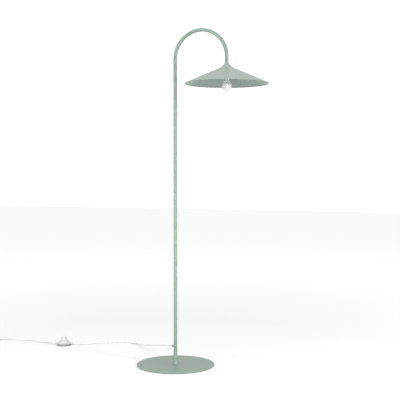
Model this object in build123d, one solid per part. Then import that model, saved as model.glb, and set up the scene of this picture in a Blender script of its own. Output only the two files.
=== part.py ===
"""Swan-neck floor lamp with a swivelling arm, a spun shade and a foot dimmer on its lead.

Millimetres, +Z up. The origin is on the floor, on the axis of the upright. The arm reaches
towards +X, and the lead leaves the upright towards -X. Every separate piece of the lamp is
one STEP file in parts/, named after the piece.
"""
from build123d import *
import math
import os

os.makedirs("parts", exist_ok=True)

# ---------------------------------------------------------------- driving dimensions
TOTAL_HEIGHT = 1510.0       # floor to the top of the arch
ARM_REACH = 247.0           # upright axis to shade axis
TUBE_D = 16.0               # upright and arm tube
TUBE_WALL = 1.5
SEAM_HEIGHT = 1290.0        # where the arm turns on the upright
SHADE_DROP = 162.0          # top of the arch to the top of the shade

BASE_D = 350.0
PLATE_THICK = 4.0
PAD_THICK = 1.0
PAD_INSET = 4.0             # the pad stays back from the plate's edge
PLATE_TOP_ROUND = 1.2
PLATE_LOW_CHAMFER = 0.4
COLLAR_HEIGHT = 70.0
COLLAR_FOOT_WALL = 4.5      # thickness of the collar at its foot
COLLAR_LIP = 0.6            # wall of the collar at its thin upper end
COLLAR_LAND = 1.5           # straight height of the collar's foot
COLLAR_WAIST_SHARE = 0.36   # the collar's swell left at its waist
COLLAR_WAIST_HEIGHT = 31.5
BASE_SCREW_D = 8.0
BASE_SCREW_HEAD_D = 16.0
BASE_SCREW_LENGTH = 25.0
BASE_SCREW_SOCKET_R = 2.9
BASE_SCREW_SOCKET_DEPTH = 2.8
INSERT_LENGTH = 30.0        # threaded insert in the foot of the upright
LOCATING_PIN_D = 3.0
LOCATING_PIN_LENGTH = 7.0
LOCATING_PIN_SINK = 2.8     # how deep the pin sits in the plate

SHADE_D = 368.0
SHADE_HEIGHT = 87.0
SHADE_WALL = 1.0
SHADE_NECK_R = 26.0         # where the steep neck turns into the wide cone
SHADE_NECK_ANGLE = 45.0
SHADE_BLEND_R = 30.0
SHADE_RIM_BEAD_R = 1.2
SHADE_BEAD_LIFT = 0.4       # hemmed rim above the edge of the wall
SHADE_FLAT_MARGIN = 0.6     # flat top of the shade beyond the tube

SPIGOT_D = 9.9              # turned spigot that the arm swivels on
SPIGOT_LENGTH = 45.0
SPIGOT_PRESS_LENGTH = 28.0
SPIGOT_BORE_D = 6.6
SPIGOT_GROOVE_DEPTH = 1.0
SPIGOT_GROOVE_DROP = 24.0   # seam to the middle of the groove
SPIGOT_BUSH_MARGIN = 3.0    # the bush reaches this far below the spigot
SWIVEL_RANGE = 160.0        # degrees each way
STOP_SCREW_D = 4.0
STOP_TIP_D = 2.0
STOP_TIP_GAP = 0.15         # screw tip to the floor of its groove
STOP_SIDE_GAP = 0.1         # screw tip to the sides of its groove
STOP_END_ANGLE = 1.5        # spare angle at each end of the groove
STOP_SCREW_SINK = 0.2       # screw below the surface of the tube
STOP_SOCKET_R = 1.1
STOP_SOCKET_DEPTH = 1.4
WASHER_THICK = 0.6
WASHER_INSET = 0.4

NIPPLE_D = 10.0             # hollow threaded rod that carries shade and lampholder
NIPPLE_BORE_D = 6.6
NIPPLE_LENGTH = 32.0
NIPPLE_END_GAP = 1.0        # nipple to the inner end of its insert
END_INSERT_LENGTH = 15.0
NUT_ACROSS_FLATS = 14.0
NUT_THICK = 3.0
LOCK_WASHER_D = 14.8
LOCK_WASHER_THICK = 1.0

HOLDER_D = 28.0             # E14 lampholder
HOLDER_WALL = 1.6
HOLDER_LENGTH = 62.0
HOLDER_CAP_HEIGHT = 20.0
HOLDER_BOSS_D = 15.0
HOLDER_BOSS_HEIGHT = 8.0
HOLDER_CORE_D = 23.0
HOLDER_CORE_HEIGHT = 17.0
HOLDER_CORE_LIFT = 1.6      # core above the bulb's contact tip
HOLDER_DROP = 7.0           # shade top to the boss of the lampholder
HOLDER_SHOULDER_DROP = 4.0  # height of the cap's sloping shoulder
HOLDER_EDGE_ROUND = 0.6
HOLDER_SPIGOT_HEIGHT = 5.0  # the barrel reaches this far up inside the cap
HOLDER_LIP_HEIGHT = 3.0     # inward lip at the mouth of the barrel
HOLDER_MOUTH_GAP = 1.0
TERMINAL_R = 1.5
TERMINAL_EDGE = 3.2         # terminal axis to the side of the core
TERMINAL_RISE = 4.0         # foot of the terminals above the core's foot
TERMINAL_SINK = 1.2
TERMINAL_SLOT = (3.4, 0.5, 0.8)
CONTACT_R = 1.6
CONTACT_DEPTH = 6.0
SHELL_WALL = 0.4
SHELL_LIFT = 2.0            # shell above the foot of the bulb's cap

BULB_D = 45.0               # opal globe bulb with an E14 cap
BULB_LENGTH = 78.0
BULB_CAP_D = 14.0
BULB_CAP_LENGTH = 19.0
BULB_CAP_WALL = 1.0
BULB_BUTTON_R = 2.4
BULB_BUTTON_HEIGHT = 3.5
BULB_BUTTON_CONE = 2.0
BULB_BUTTON_CONE_R = 3.2
BULB_NECK_D = 16.6          # plastic neck that enters the lampholder
BULB_NECK_LENGTH = 6.0
BULB_GLOBE_SHARE = 0.75     # the glass ends this share of its radius above its centre
BULB_GLASS_WALL = 1.0
BULB_PROUD = 32.0           # the bulb shows this far below the shade's rim
LED_BOARD_THICK = 1.2
LED_SIZE = (2.8, 2.8, 0.8)
LED_COUNT = 6
LED_RING_SHARE = 0.62       # ring of the LEDs over the radius of their board

CORD_D = 5.4
GLAND_HEIGHT = 86.5
GLAND_D = 11.0
GLAND_LENGTH = 9.0          # outside the tube
GLAND_FLANGE = 2.5
GLAND_BARREL_D = 9.0        # part of the gland inside the wall of the tube
GLAND_SEAT = 0.6            # the flange sinks this far into the tube's curve
GLAND_INSIDE = 0.7          # the barrel reaches this far into the bore
GLAND_TIP_SWELL = 0.9       # the flange narrows by this and then by the next
GLAND_TIP_ROUND = 0.8
WEDGE_WALL = 0.9
WEDGE_REACH = 3.0           # the wedge ends this far outside the tube
RELIEF_D = 8.0              # tapered sleeves where the cord leaves a housing
RELIEF_TIP_WALL = 0.5
RELIEF_LENGTH = 21.5

DIMMER_CENTRE = (-700.0, 180.0)
DIMMER_YAW = 10.0
DIMMER_D = 72.0
DIMMER_PARTING = 9.0        # height of the joint between base and cover
DIMMER_CORD_HEIGHT = 9.0
DIMMER_WALL = 2.0
DIMMER_COLLAR_HEIGHT = 28.0
DIMMER_LIP_HEIGHT = 2.0
FOOT_PAD_D = 10.0
FOOT_PAD_THICK = 2.5
FOOT_PAD_POCKET = 1.0
FOOT_PAD_INSET = 17.5       # edge of the dimmer to the middle of a foot
DIMMER_BASE_INSET = 0.9     # the base stays back from the cover's edge
DIMMER_FLOOR_THICK = 2.5
CASE_SCREW_INSET = 8.5      # edge of the dimmer to each case screw
CASE_SCREW_R = 1.4
CASE_SCREW_HEAD_R = 2.6
CASE_SCREW_HEAD_HEIGHT = 1.8
CASE_SCREW_SINK = 0.5
CASE_SCREW_TOP = 11.5
CROSS_SLOT = (3.2, 0.6, 0.7)
CASE_POST_R = 3.6
COVER_POST_R = 3.0
BOARD_POST_R = 2.2
BOARD_POST_INSET = 4.0      # edge of the board to the middle of a post
COVER_TOP_ROUND = 0.5
KNOB_D = 28.0
KNOB_HEIGHT = 46.0          # floor to the crown of the knob
KNOB_WALL = 2.0
KNOB_CROWN_HEIGHT = 5.0
KNOB_DRAFT = 1.0            # the knob narrows by this much up to its crown
KNOB_SKIRT = 8.0            # how far the knob reaches down inside the collar
KNOB_TRAVEL = 2.5
KNOB_GAP = 0.6
KNOB_ROOF = 1.0             # hollow of the knob below its shoulder
KNOB_STEM_R = 5.5
KNOB_RIB_COUNT = 12
KNOB_RIB_R = 1.0
KNOB_RIB_OFFSET = 0.1       # groove axis outside the knob
KNOB_RIB_START = 3.2        # grooves start this far above the collar
KNOB_RIB_END = 0.5          # and stop this far below the shoulder
BOARD_D = 44.0
BOARD_THICK = 1.6
BOARD_HEIGHT = 13.5
SHAFT_D = 6.0
SHAFT_END_GAP = 0.6
SWITCH_BODY_R = 8.0
SWITCH_BODY_HEIGHT = 6.5
SWITCH_FLOOR = 1.0
SLIDER_R = 5.0
SLIDER_RISE = 7.0           # slider's flange above the switch body
SLIDER_FLANGE_THICK = 1.6
SPRING_R = 6.6
SPRING_WIRE_R = 0.45
SPRING_TURNS = 3.0
WORKS_GAP = 0.6             # tall components stay this far outside the knob
TRIAC_SIZE = (10.0, 4.0, 4.4)
TRIAC_TAB_SIZE = (9.0, 0.9, 4.6)
CHOKE_R = 3.6
CHOKE_BORE_R = 1.6
CHOKE_HEIGHT = 3.2
CHOKE_PLACE = -18.4
CAPACITOR_SIZE = (4.5, 11.0, 4.6)
FUSE_R = 2.0
FUSE_LENGTH = 11.0
FUSE_PLACE = 17.0
FUSE_LIFT = 0.4
TERMINAL_BLOCK_SIZE = (8.0, 12.0, 7.5)
TERMINAL_BLOCK_PLACE = 14.5
BLOCK_HOLE_R = 1.6
BLOCK_HOLE_SPACING = 6.4
BLOCK_HOLE_RISE = 3.5
CLAMP_RADIUS = 25.2         # dimmer axis to the middle of each cord clamp
CLAMP_SIZE = (5.0, 16.0)
CLAMP_THICK = 1.2
CLAMP_SCREW_OFFSET = 5.6
CLAMP_SCREW_R = 1.15
CLAMP_SCREW_HEAD = (2.0, 0.8)
CLAMP_HOLE_R = 1.2
CLAMP_LEG_R = 2.0
DIMMER_RELIEF_LENGTH = 20.0
DIMMER_RELIEF_START = 28.0

PLUG_LENGTH = 36.0
PLUG_WIDTH = 27.0
PLUG_TAIL_WIDTH = 17.0
PLUG_THICK = 14.0
PLUG_PIN_D = 4.0
PLUG_PIN_LENGTH = 19.0
PLUG_PIN_SPACING = 19.0
PLUG_PIN_ROOT = 9.0         # pin length moulded into the body
PLUG_PIN_ROOT_D = 3.4
PLUG_RELIEF_LENGTH = 25.0
PLUG_RELIEF_SWELL = 0.6
PLUG_TAIL_THINNER = 3.0
PLUG_CORNER_R = 4.0
PLUG_FACE_CHAMFER = 1.0
PLUG_PIN_ROUND = 1.6

COIL_TURNS_WIDE = 3
COIL_TURNS_HIGH = 2
COIL_MIDDLE_D = 11.0 * CORD_D
COIL_ENTRY = (-1112.0, 151.0)
COIL_EXIT_ANGLE = 216.0     # where the last turn leaves for the plug
COIL_EDGE_ROUND = 1.89
TAIL_BEND = 25.0            # coil to the bend in front of the plug
TAIL_LENGTH = 52.0
TAIL_SIDESTEP = 5.0
TIE_ANGLE = 60.0
TIE_WIDTH = 9.0
TIE_THICK = 1.0

SLIP = 0.05                 # radial clearance of a turning or sliding fit
FREE = 0.3                  # clearance between pieces that don't touch

# ---------------------------------------------------------------- routes of the free cord
# Each point is chosen by hand: gland to dimmer, then dimmer to the put-away coil.
LEAD_ROUTE = [
    (-TUBE_D / 2 - GLAND_LENGTH, 0.0, GLAND_HEIGHT),
    (-46.0, 0.0, 86.5),
    (-84.0, 36.0, 76.0),
    (-131.0, 97.0, 61.0),
    (-182.0, 157.0, 45.5),
    (-234.0, 212.0, 30.0),
    (-284.0, 260.0, 17.0),
    (-336.0, 308.0, 7.0),
    (-392.0, 348.0, 2.9),
    (-454.0, 352.0, 2.7),
    (-512.0, 309.0, 2.7),
    (-566.0, 273.0, 2.7),
    (-600.0, 232.0, 4.0),
    (-632.0, 192.0, 9.0),
    (-677.35, 184.0, 9.0),
]
SUPPLY_ROUTE = [
    (-722.65, 176.0, 9.0),
    (-768.0, 168.0, 9.0),
    (-810.0, 189.0, 4.0),
    (-856.0, 191.0, 2.7),
    (-914.0, 201.0, 2.7),
    (-969.0, 203.0, 2.7),
    (-1029.0, 188.0, 2.7),
    (-1079.0, 167.0, 2.7),
    (-1112.0, 151.0, 2.7),
]

# ---------------------------------------------------------------- derived sizes
TUBE_R = TUBE_D / 2
BORE_R = TUBE_R - TUBE_WALL
PLATE_TOP = PAD_THICK + PLATE_THICK
BEND_R = ARM_REACH / 2
SPRING_LINE = TOTAL_HEIGHT - TUBE_R - BEND_R
SHADE_TOP = TOTAL_HEIGHT - SHADE_DROP
SHADE_RIM = SHADE_TOP - SHADE_HEIGHT
ARM_FOOT = SEAM_HEIGHT + WASHER_THICK
CORD_R = CORD_D / 2
DIMMER_FLOOR = FOOT_PAD_THICK - FOOT_PAD_POCKET
DIMMER_DECK = DIMMER_FLOOR + DIMMER_FLOOR_THICK
LOW = (Align.CENTER, Align.CENTER, Align.MIN)


def disc(radius, low, high, at=(0.0, 0.0)):
    """An upright cylinder between two heights."""
    return Pos(at[0], at[1], low) * Cylinder(radius, high - low, align=LOW)


def ring(outer, inner, low, high, at=(0.0, 0.0)):
    """An upright tube between two heights."""
    return disc(outer, low, high, at) - disc(inner, low - 1, high + 1, at)


def taper(low_radius, high_radius, low, high, at=(0.0, 0.0)):
    """An upright cone frustum between two heights."""
    return Pos(at[0], at[1], low) * Cone(low_radius, high_radius, high - low, align=LOW)


def turned(outline, at=(0.0, 0.0)):
    """A closed outline of (radius, height) points, turned about a vertical axis."""
    face = make_face(Polyline(*outline, close=True))
    return Pos(at[0], at[1], 0) * revolve(Plane.XZ * face, Axis.Z)


def block(size, low_centre):
    """A box of the given size, standing on the centre of its lowest face."""
    return Pos(*low_centre) * Box(*size, align=LOW)


def save(name, shape):
    """Write one piece to its own STEP file."""
    export_step(shape, f"parts/{name}.step")


def save_group(name, shapes):
    """Write several separate solids that share one node."""
    export_step(Compound(children=list(shapes)), f"parts/{name}.step")


# ---------------------------------------------------------------- base and foot
def make_base():
    """Steel plate, foam pad, and the screw and pin that hold the upright on it."""
    head_r = BASE_SCREW_HEAD_D / 2
    shank_r = BASE_SCREW_D / 2
    sink = head_r - shank_r
    plate_r = BASE_D / 2
    pin_r = LOCATING_PIN_D / 2
    pin_at = (TUBE_R + COLLAR_FOOT_WALL / 2, 0.0)
    pin_low = PLATE_TOP - LOCATING_PIN_SINK
    pin_high = pin_low + LOCATING_PIN_LENGTH

    plate = disc(plate_r, PAD_THICK, PLATE_TOP)
    plate = fillet(plate.edges().group_by(Axis.Z)[-1], PLATE_TOP_ROUND)
    plate = chamfer(plate.edges().group_by(Axis.Z)[0], PLATE_LOW_CHAMFER)
    plate -= taper(head_r + SLIP, shank_r + SLIP, PAD_THICK, PAD_THICK + sink)
    plate -= disc(shank_r + SLIP, PAD_THICK, PLATE_TOP + 1)
    plate -= disc(pin_r, pin_low, PLATE_TOP + 1, pin_at)
    save("base_plate", plate)
    save("base_pad", disc(plate_r - PAD_INSET, 0.0, PAD_THICK))

    screw = taper(head_r, shank_r, PAD_THICK, PAD_THICK + sink)
    screw += disc(shank_r, PAD_THICK + sink, PAD_THICK + BASE_SCREW_LENGTH)
    socket = extrude(RegularPolygon(BASE_SCREW_SOCKET_R, 6), BASE_SCREW_SOCKET_DEPTH)
    save("base_screw", screw - Pos(0, 0, PAD_THICK) * socket)
    save("locating_pin", disc(pin_r, pin_low, pin_high, pin_at))

    collar_top = PLATE_TOP + COLLAR_HEIGHT
    foot_r = TUBE_R + COLLAR_FOOT_WALL
    lip_r = TUBE_R + SLIP + COLLAR_LIP
    waist_r = lip_r + (foot_r - lip_r) * COLLAR_WAIST_SHARE
    collar = turned([
        (TUBE_R + SLIP, PLATE_TOP),
        (foot_r, PLATE_TOP),
        (foot_r, PLATE_TOP + COLLAR_LAND),
        (waist_r, PLATE_TOP + COLLAR_WAIST_HEIGHT),
        (lip_r, collar_top),
        (TUBE_R + SLIP, collar_top),
    ])
    save("foot_collar", collar - disc(pin_r, PLATE_TOP - 1, pin_high + SLIP, pin_at))

    insert = ring(BORE_R, shank_r + SLIP, PLATE_TOP, PLATE_TOP + INSERT_LENGTH)
    save("foot_insert", insert)


# ---------------------------------------------------------------- upright, gland and swivel
def make_upright():
    """The upright tube with its cable hole and the tapped hole for the stop screw."""
    screw_height = SEAM_HEIGHT - SPIGOT_GROOVE_DROP
    tube = ring(TUBE_R, BORE_R, PLATE_TOP, SEAM_HEIGHT)
    hole = Rot(0, -90, 0) * Cylinder(GLAND_BARREL_D / 2, TUBE_D, align=LOW)
    tube -= Pos(0, 0, GLAND_HEIGHT) * hole
    tapped = Rot(-90, 0, 0) * Cylinder(STOP_SCREW_D / 2, TUBE_D, align=LOW)
    tube -= Pos(0, 0, screw_height) * tapped
    save("stem_tube", tube)


def along_minus_x(outline):
    """Turn an outline of (radius, distance) about the gland's axis, which points at -X."""
    body = turned(outline)
    return Pos(0, 0, GLAND_HEIGHT) * Rot(0, -90, 0) * body


def make_gland():
    """The press-in cord gland, the wedge that grips the cord and its tapered sleeve."""
    barrel_r = GLAND_BARREL_D / 2
    flange_r = GLAND_D / 2
    wedge_r = CORD_R + WEDGE_WALL
    seat = TUBE_R - GLAND_SEAT
    tip = TUBE_R + GLAND_LENGTH
    inside = BORE_R - GLAND_INSIDE
    wedge_end = TUBE_R + WEDGE_REACH
    sleeve_end = wedge_end + RELIEF_LENGTH

    gland = along_minus_x([
        (wedge_r, inside),
        (barrel_r, inside),
        (barrel_r, seat),
        (flange_r, seat),
        (flange_r, TUBE_R + GLAND_FLANGE),
        (flange_r - GLAND_TIP_SWELL, tip - GLAND_TIP_ROUND),
        (flange_r - GLAND_TIP_SWELL - GLAND_TIP_ROUND, tip),
        (wedge_r, tip),
    ])
    wall = disc(TUBE_R, GLAND_HEIGHT - GLAND_D, GLAND_HEIGHT + GLAND_D)
    wall -= along_minus_x([(0, 0), (barrel_r, 0), (barrel_r, TUBE_D), (0, TUBE_D)])
    save("cord_gland", gland - wall)
    wedge = along_minus_x([
        (CORD_R, inside),
        (wedge_r, inside),
        (wedge_r, wedge_end),
        (CORD_R, wedge_end),
    ])
    save("gland_wedge", wedge)
    sleeve = along_minus_x([
        (CORD_R, wedge_end),
        (wedge_r, wedge_end),
        (wedge_r, tip + FREE),
        (CORD_R + RELIEF_TIP_WALL, sleeve_end),
        (CORD_R, sleeve_end),
    ])
    save("gland_sleeve", sleeve)


def make_swivel():
    """Bush and stop screw in the upright, thrust washer, and the arm's hollow spigot."""
    spigot_r = SPIGOT_D / 2
    bush_bore = spigot_r + SLIP
    bush_low = SEAM_HEIGHT - SPIGOT_LENGTH - SPIGOT_BUSH_MARGIN
    groove = SEAM_HEIGHT - SPIGOT_GROOVE_DROP
    tip_r = STOP_TIP_D / 2
    groove_floor = spigot_r - SPIGOT_GROOVE_DEPTH
    tip_reach = groove_floor + STOP_TIP_GAP

    tapped = Rot(-90, 0, 0) * Cylinder(STOP_SCREW_D / 2, TUBE_D, align=LOW)
    bush = ring(BORE_R, bush_bore, bush_low, SEAM_HEIGHT) - Pos(0, 0, groove) * tapped
    save("swivel_bush", bush)
    washer_r = TUBE_R - WASHER_INSET
    save("thrust_washer", ring(washer_r, spigot_r + FREE, SEAM_HEIGHT, ARM_FOOT))

    shank = Pos(0, bush_bore, 0) * Rot(-90, 0, 0) * Cylinder(
        STOP_SCREW_D / 2, TUBE_R - bush_bore - STOP_SCREW_SINK, align=LOW)
    tip = Pos(0, tip_reach, 0) * Rot(-90, 0, 0) * Cylinder(
        tip_r, bush_bore - tip_reach + FREE, align=LOW)
    socket = extrude(RegularPolygon(STOP_SOCKET_R, 6), STOP_SOCKET_DEPTH)
    drive = Pos(0, TUBE_R - STOP_SOCKET_DEPTH, 0) * Rot(-90, 0, 0) * socket
    save("stop_screw", Pos(0, 0, groove) * (shank + tip - drive))

    spigot = disc(spigot_r, SEAM_HEIGHT - SPIGOT_LENGTH, ARM_FOOT)
    spigot += disc(BORE_R, ARM_FOOT, ARM_FOOT + SPIGOT_PRESS_LENGTH)
    spigot -= disc(SPIGOT_BORE_D / 2, SEAM_HEIGHT - SPIGOT_LENGTH - 1, ARM_FOOT + SPIGOT_PRESS_LENGTH + 1)
    # The groove leaves a web at the back, and its ends stop the arm at the swivel's range.
    half_tip = math.degrees(math.asin(tip_r / groove_floor))
    open_angle = 2 * (SWIVEL_RANGE + half_tip + STOP_END_ANGLE)
    half_band = tip_r + STOP_SIDE_GAP
    band = Plane.XZ * make_face(Polyline(
        (groove_floor, groove - half_band),
        (spigot_r + 1, groove - half_band),
        (spigot_r + 1, groove + half_band),
        (groove_floor, groove + half_band),
        close=True))
    cut = revolve(band, Axis.Z, open_angle)
    middle = Rot(0, 0, 90 - open_angle / 2) * cut
    save("arm_spigot", spigot - middle)


# ---------------------------------------------------------------- arm
def swan_neck(outer, inner, low, end):
    """A tube up from low, over the arch and down to end, with a bore if inner isn't zero."""
    far = (ARM_REACH, 0.0)
    if inner:
        up = ring(outer, inner, low, SPRING_LINE)
        down = ring(outer, inner, end, SPRING_LINE, far)
        section = Circle(outer) - Circle(inner)
    else:
        up = disc(outer, low, SPRING_LINE)
        down = disc(outer, end, SPRING_LINE, far)
        section = Circle(outer)
    hinge = Axis((BEND_R, 0, SPRING_LINE), (0, 1, 0))
    arch = revolve(Pos(0, 0, SPRING_LINE) * section, hinge, 180)
    return up + arch + down


def make_arm():
    """The swan-neck tube and the threaded insert in its end."""
    save("arm_tube", swan_neck(TUBE_R, BORE_R, ARM_FOOT, SHADE_TOP))
    far = (ARM_REACH, 0.0)
    insert_top = SHADE_TOP + END_INSERT_LENGTH
    save("arm_end_insert", ring(BORE_R, NIPPLE_D / 2 + SLIP, SHADE_TOP, insert_top, far))


def make_inner_cable():
    """The cable inside the lamp, in two lengths that meet at the swivel."""
    top = SEAM_HEIGHT - SPIGOT_LENGTH - 1.0
    bend = BORE_R - CORD_R * 0.3
    start = -(TUBE_R + GLAND_LENGTH)
    path = FilletPolyline((start, 0, GLAND_HEIGHT), (0, 0, GLAND_HEIGHT), (0, 0, top), radius=bend)
    save("stem_cable", sweep(Plane(path @ 0, z_dir=path % 0) * Circle(CORD_R), path))
    core_top = bulb_levels()[4] + HOLDER_CORE_LIFT + HOLDER_CORE_HEIGHT
    save("arm_cable", swan_neck(CORD_R, 0, top, core_top))


# ---------------------------------------------------------------- shade
def shade_outline():
    """The wall of the shade as (radius, height) corners, outside first, then inside."""
    neck = math.radians(SHADE_NECK_ANGLE)
    top_r = TUBE_R + SHADE_FLAT_MARGIN
    corner = (SHADE_NECK_R, SHADE_TOP - (SHADE_NECK_R - top_r) * math.tan(neck))
    rim_r = SHADE_D / 2
    cone = math.atan2(corner[1] - SHADE_RIM, rim_r - corner[0])
    outside = [(NIPPLE_D / 2 + FREE, SHADE_TOP), (top_r, SHADE_TOP), corner, (rim_r, SHADE_RIM)]
    slopes = [0.0, neck, cone]
    normals = [(-math.sin(a), -math.cos(a)) for a in slopes]
    inside = [(outside[0][0], SHADE_TOP - SHADE_WALL)]
    for point, first, second in zip(outside[1:3], normals, normals[1:]):
        share = SHADE_WALL / (1 + first[0] * second[0] + first[1] * second[1])
        step = ((first[0] + second[0]) * share, (first[1] + second[1]) * share)
        inside.append((point[0] + step[0], point[1] + step[1]))
    inside.append((rim_r + normals[2][0] * SHADE_WALL, SHADE_RIM + normals[2][1] * SHADE_WALL))
    return outside, inside, cone


def make_shade():
    """The spun shade with its hemmed rim, and the washer and nut that clamp it."""
    outside, inside, cone = shade_outline()
    outer = FilletPolyline(*outside, radius=[0, SHADE_BLEND_R])
    inner = FilletPolyline(*inside, radius=[0, SHADE_BLEND_R + SHADE_WALL])
    edges = [outer, inner, Line(outside[0], inside[0]), Line(outside[-1], inside[-1])]
    wall = revolve(Plane.XZ * make_face(edges), Axis.Z)
    bead_r = SHADE_D / 2 - SHADE_RIM_BEAD_R
    bead_z = SHADE_RIM - SHADE_WALL * math.cos(cone) / 2 + SHADE_BEAD_LIFT
    bead = Pos(0, 0, bead_z) * Torus(bead_r, SHADE_RIM_BEAD_R)
    save("shade", Pos(ARM_REACH, 0, 0) * (wall + bead))

    at = (ARM_REACH, 0.0)
    washer_top = SHADE_TOP - SHADE_WALL
    washer_low = washer_top - LOCK_WASHER_THICK
    hole = NIPPLE_D / 2 + SLIP
    save("shade_washer", ring(LOCK_WASHER_D / 2, hole, washer_low, washer_top, at))
    nut = extrude(RegularPolygon(NUT_ACROSS_FLATS / 2, 6, major_radius=False), -NUT_THICK)
    nut = Pos(ARM_REACH, 0, washer_low) * nut
    nut -= disc(hole, washer_low - NUT_THICK - 1, washer_low + 1, at)
    save("shade_nut", nut)
    nipple_top = SHADE_TOP + END_INSERT_LENGTH - NIPPLE_END_GAP
    nipple = ring(NIPPLE_D / 2, NIPPLE_BORE_D / 2, nipple_top - NIPPLE_LENGTH, nipple_top, at)
    save("shade_nipple", nipple)


# ---------------------------------------------------------------- lampholder and bulb
def bulb_levels():
    """Heights along the bulb: globe's centre, edge of the glass, cap and contact tip."""
    bottom = SHADE_RIM - BULB_PROUD
    centre = bottom + BULB_D / 2
    glass_edge = centre + BULB_D / 2 * BULB_GLOBE_SHARE
    tip = bottom + BULB_LENGTH
    cap_top = tip - BULB_BUTTON_HEIGHT
    cap_low = cap_top - BULB_CAP_LENGTH
    return centre, glass_edge, cap_low, cap_top, tip


def make_lampholder():
    """The E14 holder: domed cap, core with its contacts and screws, shell and barrel."""
    at = (ARM_REACH, 0.0)
    boss_top = SHADE_TOP - HOLDER_DROP
    boss_low = boss_top - HOLDER_BOSS_HEIGHT
    outer = HOLDER_D / 2
    inner = outer - HOLDER_WALL
    cap_low = boss_top - HOLDER_CAP_HEIGHT
    holder_low = boss_top - HOLDER_LENGTH
    hole = NIPPLE_D / 2 + SLIP
    shoulder = boss_low - HOLDER_SHOULDER_DROP
    mouth_r = BULB_NECK_D / 2 + HOLDER_MOUTH_GAP
    lip_top = holder_low + HOLDER_LIP_HEIGHT

    cap = turned([
        (hole, boss_low - HOLDER_WALL),
        (hole, boss_top),
        (HOLDER_BOSS_D / 2, boss_top),
        (HOLDER_BOSS_D / 2, boss_low),
        (outer, shoulder),
        (outer, cap_low),
        (inner, cap_low),
        (inner, shoulder - HOLDER_WALL * 0.4),
        (HOLDER_BOSS_D / 2 - HOLDER_WALL * 0.2, boss_low - HOLDER_WALL),
    ], at)
    save("holder_cap", cap)

    spigot_top = cap_low + HOLDER_SPIGOT_HEIGHT
    barrel = turned([
        (outer - HOLDER_EDGE_ROUND, holder_low),
        (outer, holder_low + HOLDER_EDGE_ROUND),
        (outer, cap_low),
        (inner - SLIP, cap_low),
        (inner - SLIP, spigot_top),
        (inner - HOLDER_WALL, spigot_top),
        (inner - HOLDER_WALL, lip_top),
        (mouth_r, lip_top),
        (mouth_r, holder_low),
    ], at)
    save("holder_barrel", barrel)

    tip = bulb_levels()[4]
    core_low = tip + HOLDER_CORE_LIFT
    core_r = HOLDER_CORE_D / 2 - HOLDER_WALL
    core_top = core_low + HOLDER_CORE_HEIGHT
    core = disc(core_r, core_low, core_top, at)
    core -= disc(CONTACT_R, core_low - 1, core_low + CONTACT_DEPTH, at)
    screw_low = core_low + TERMINAL_RISE
    screw_top = core_top - TERMINAL_SINK
    slot_depth = TERMINAL_SLOT[2]
    screws = []
    for side in (-1, 1):
        place = (ARM_REACH + side * (core_r - TERMINAL_EDGE), 0.0)
        core -= disc(TERMINAL_R, screw_low, core_top + 1, place)
        screw = disc(TERMINAL_R, screw_low, screw_top, place)
        screws.append(screw - block(TERMINAL_SLOT, (place[0], place[1], screw_top - slot_depth)))
    save("holder_core", core)
    save_group("terminal_screws", screws)

    shell_r = BULB_CAP_D / 2 + SLIP
    shell_low = bulb_levels()[2] + SHELL_LIFT
    shell = ring(shell_r + SHELL_WALL, shell_r, shell_low, core_low, at)
    save("holder_shell", shell)
    pip = disc(CONTACT_R, tip, core_low + CONTACT_DEPTH, at)
    save("holder_contact", pip)


def make_bulb():
    """The opal bulb: glass globe, plastic collar, LED board, threaded cap and its tip."""
    at = (ARM_REACH, 0.0)
    centre, neck, cap_low, cap_top, tip = bulb_levels()
    globe_r = BULB_D / 2
    rim_r = math.sqrt(globe_r ** 2 - (neck - centre) ** 2)
    core_r = BULB_CAP_D / 2 - BULB_CAP_WALL
    neck_r = BULB_NECK_D / 2
    throat = cap_low - BULB_NECK_LENGTH

    solid = Pos(0, 0, centre) * Sphere(globe_r) - disc(globe_r + 1, neck, neck + BULB_D)
    hollow_r = globe_r - BULB_GLASS_WALL
    globe = solid - Pos(0, 0, centre) * Sphere(hollow_r)
    save("bulb_globe", Pos(ARM_REACH, 0, 0) * globe)

    collar = turned([
        (0, neck),
        (rim_r, neck),
        (rim_r - 0.4, neck + 1.6),
        (neck_r + (rim_r - neck_r) * 0.3, throat - 2.2),
        (neck_r, throat),
        (neck_r, cap_low - 0.6),
        (neck_r - 0.6, cap_low),
        (core_r, cap_low),
        (core_r, cap_top),
        (0, cap_top),
    ], at)
    save("bulb_collar", collar)
    board_r = rim_r - BULB_GLASS_WALL - 5 * FREE
    board_low = neck - LED_BOARD_THICK
    board = disc(board_r, board_low, neck, at)
    for index in range(LED_COUNT):
        angle = 2 * math.pi * index / LED_COUNT
        across = board_r * LED_RING_SHARE * math.cos(angle)
        along = board_r * LED_RING_SHARE * math.sin(angle)
        board += block(LED_SIZE, (ARM_REACH + across, along, board_low - LED_SIZE[2]))
    save("bulb_led_board", board)
    save("bulb_cap", ring(BULB_CAP_D / 2, core_r, cap_low, cap_top, at))
    button_low = cap_top + BULB_BUTTON_CONE
    button = taper(core_r, BULB_BUTTON_CONE_R, cap_top, button_low, at)
    save("bulb_tip", button + disc(BULB_BUTTON_R, button_low, tip, at))


# ---------------------------------------------------------------- foot dimmer
def at_dimmer(shape):
    """Place a piece modelled about the dimmer's own axis where the dimmer lies."""
    return Pos(DIMMER_CENTRE[0], DIMMER_CENTRE[1], 0) * Rot(0, 0, DIMMER_YAW) * shape


def cover_height(radius):
    """Height of the outside of the dimmer's cone where it has the given radius."""
    low = DIMMER_PARTING + DIMMER_LIP_HEIGHT
    high = DIMMER_COLLAR_HEIGHT - DIMMER_LIP_HEIGHT
    collar_r = KNOB_D / 2 + KNOB_GAP + DIMMER_WALL
    share = (DIMMER_D / 2 - radius) / (DIMMER_D / 2 - collar_r)
    return low + (high - low) * share


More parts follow.
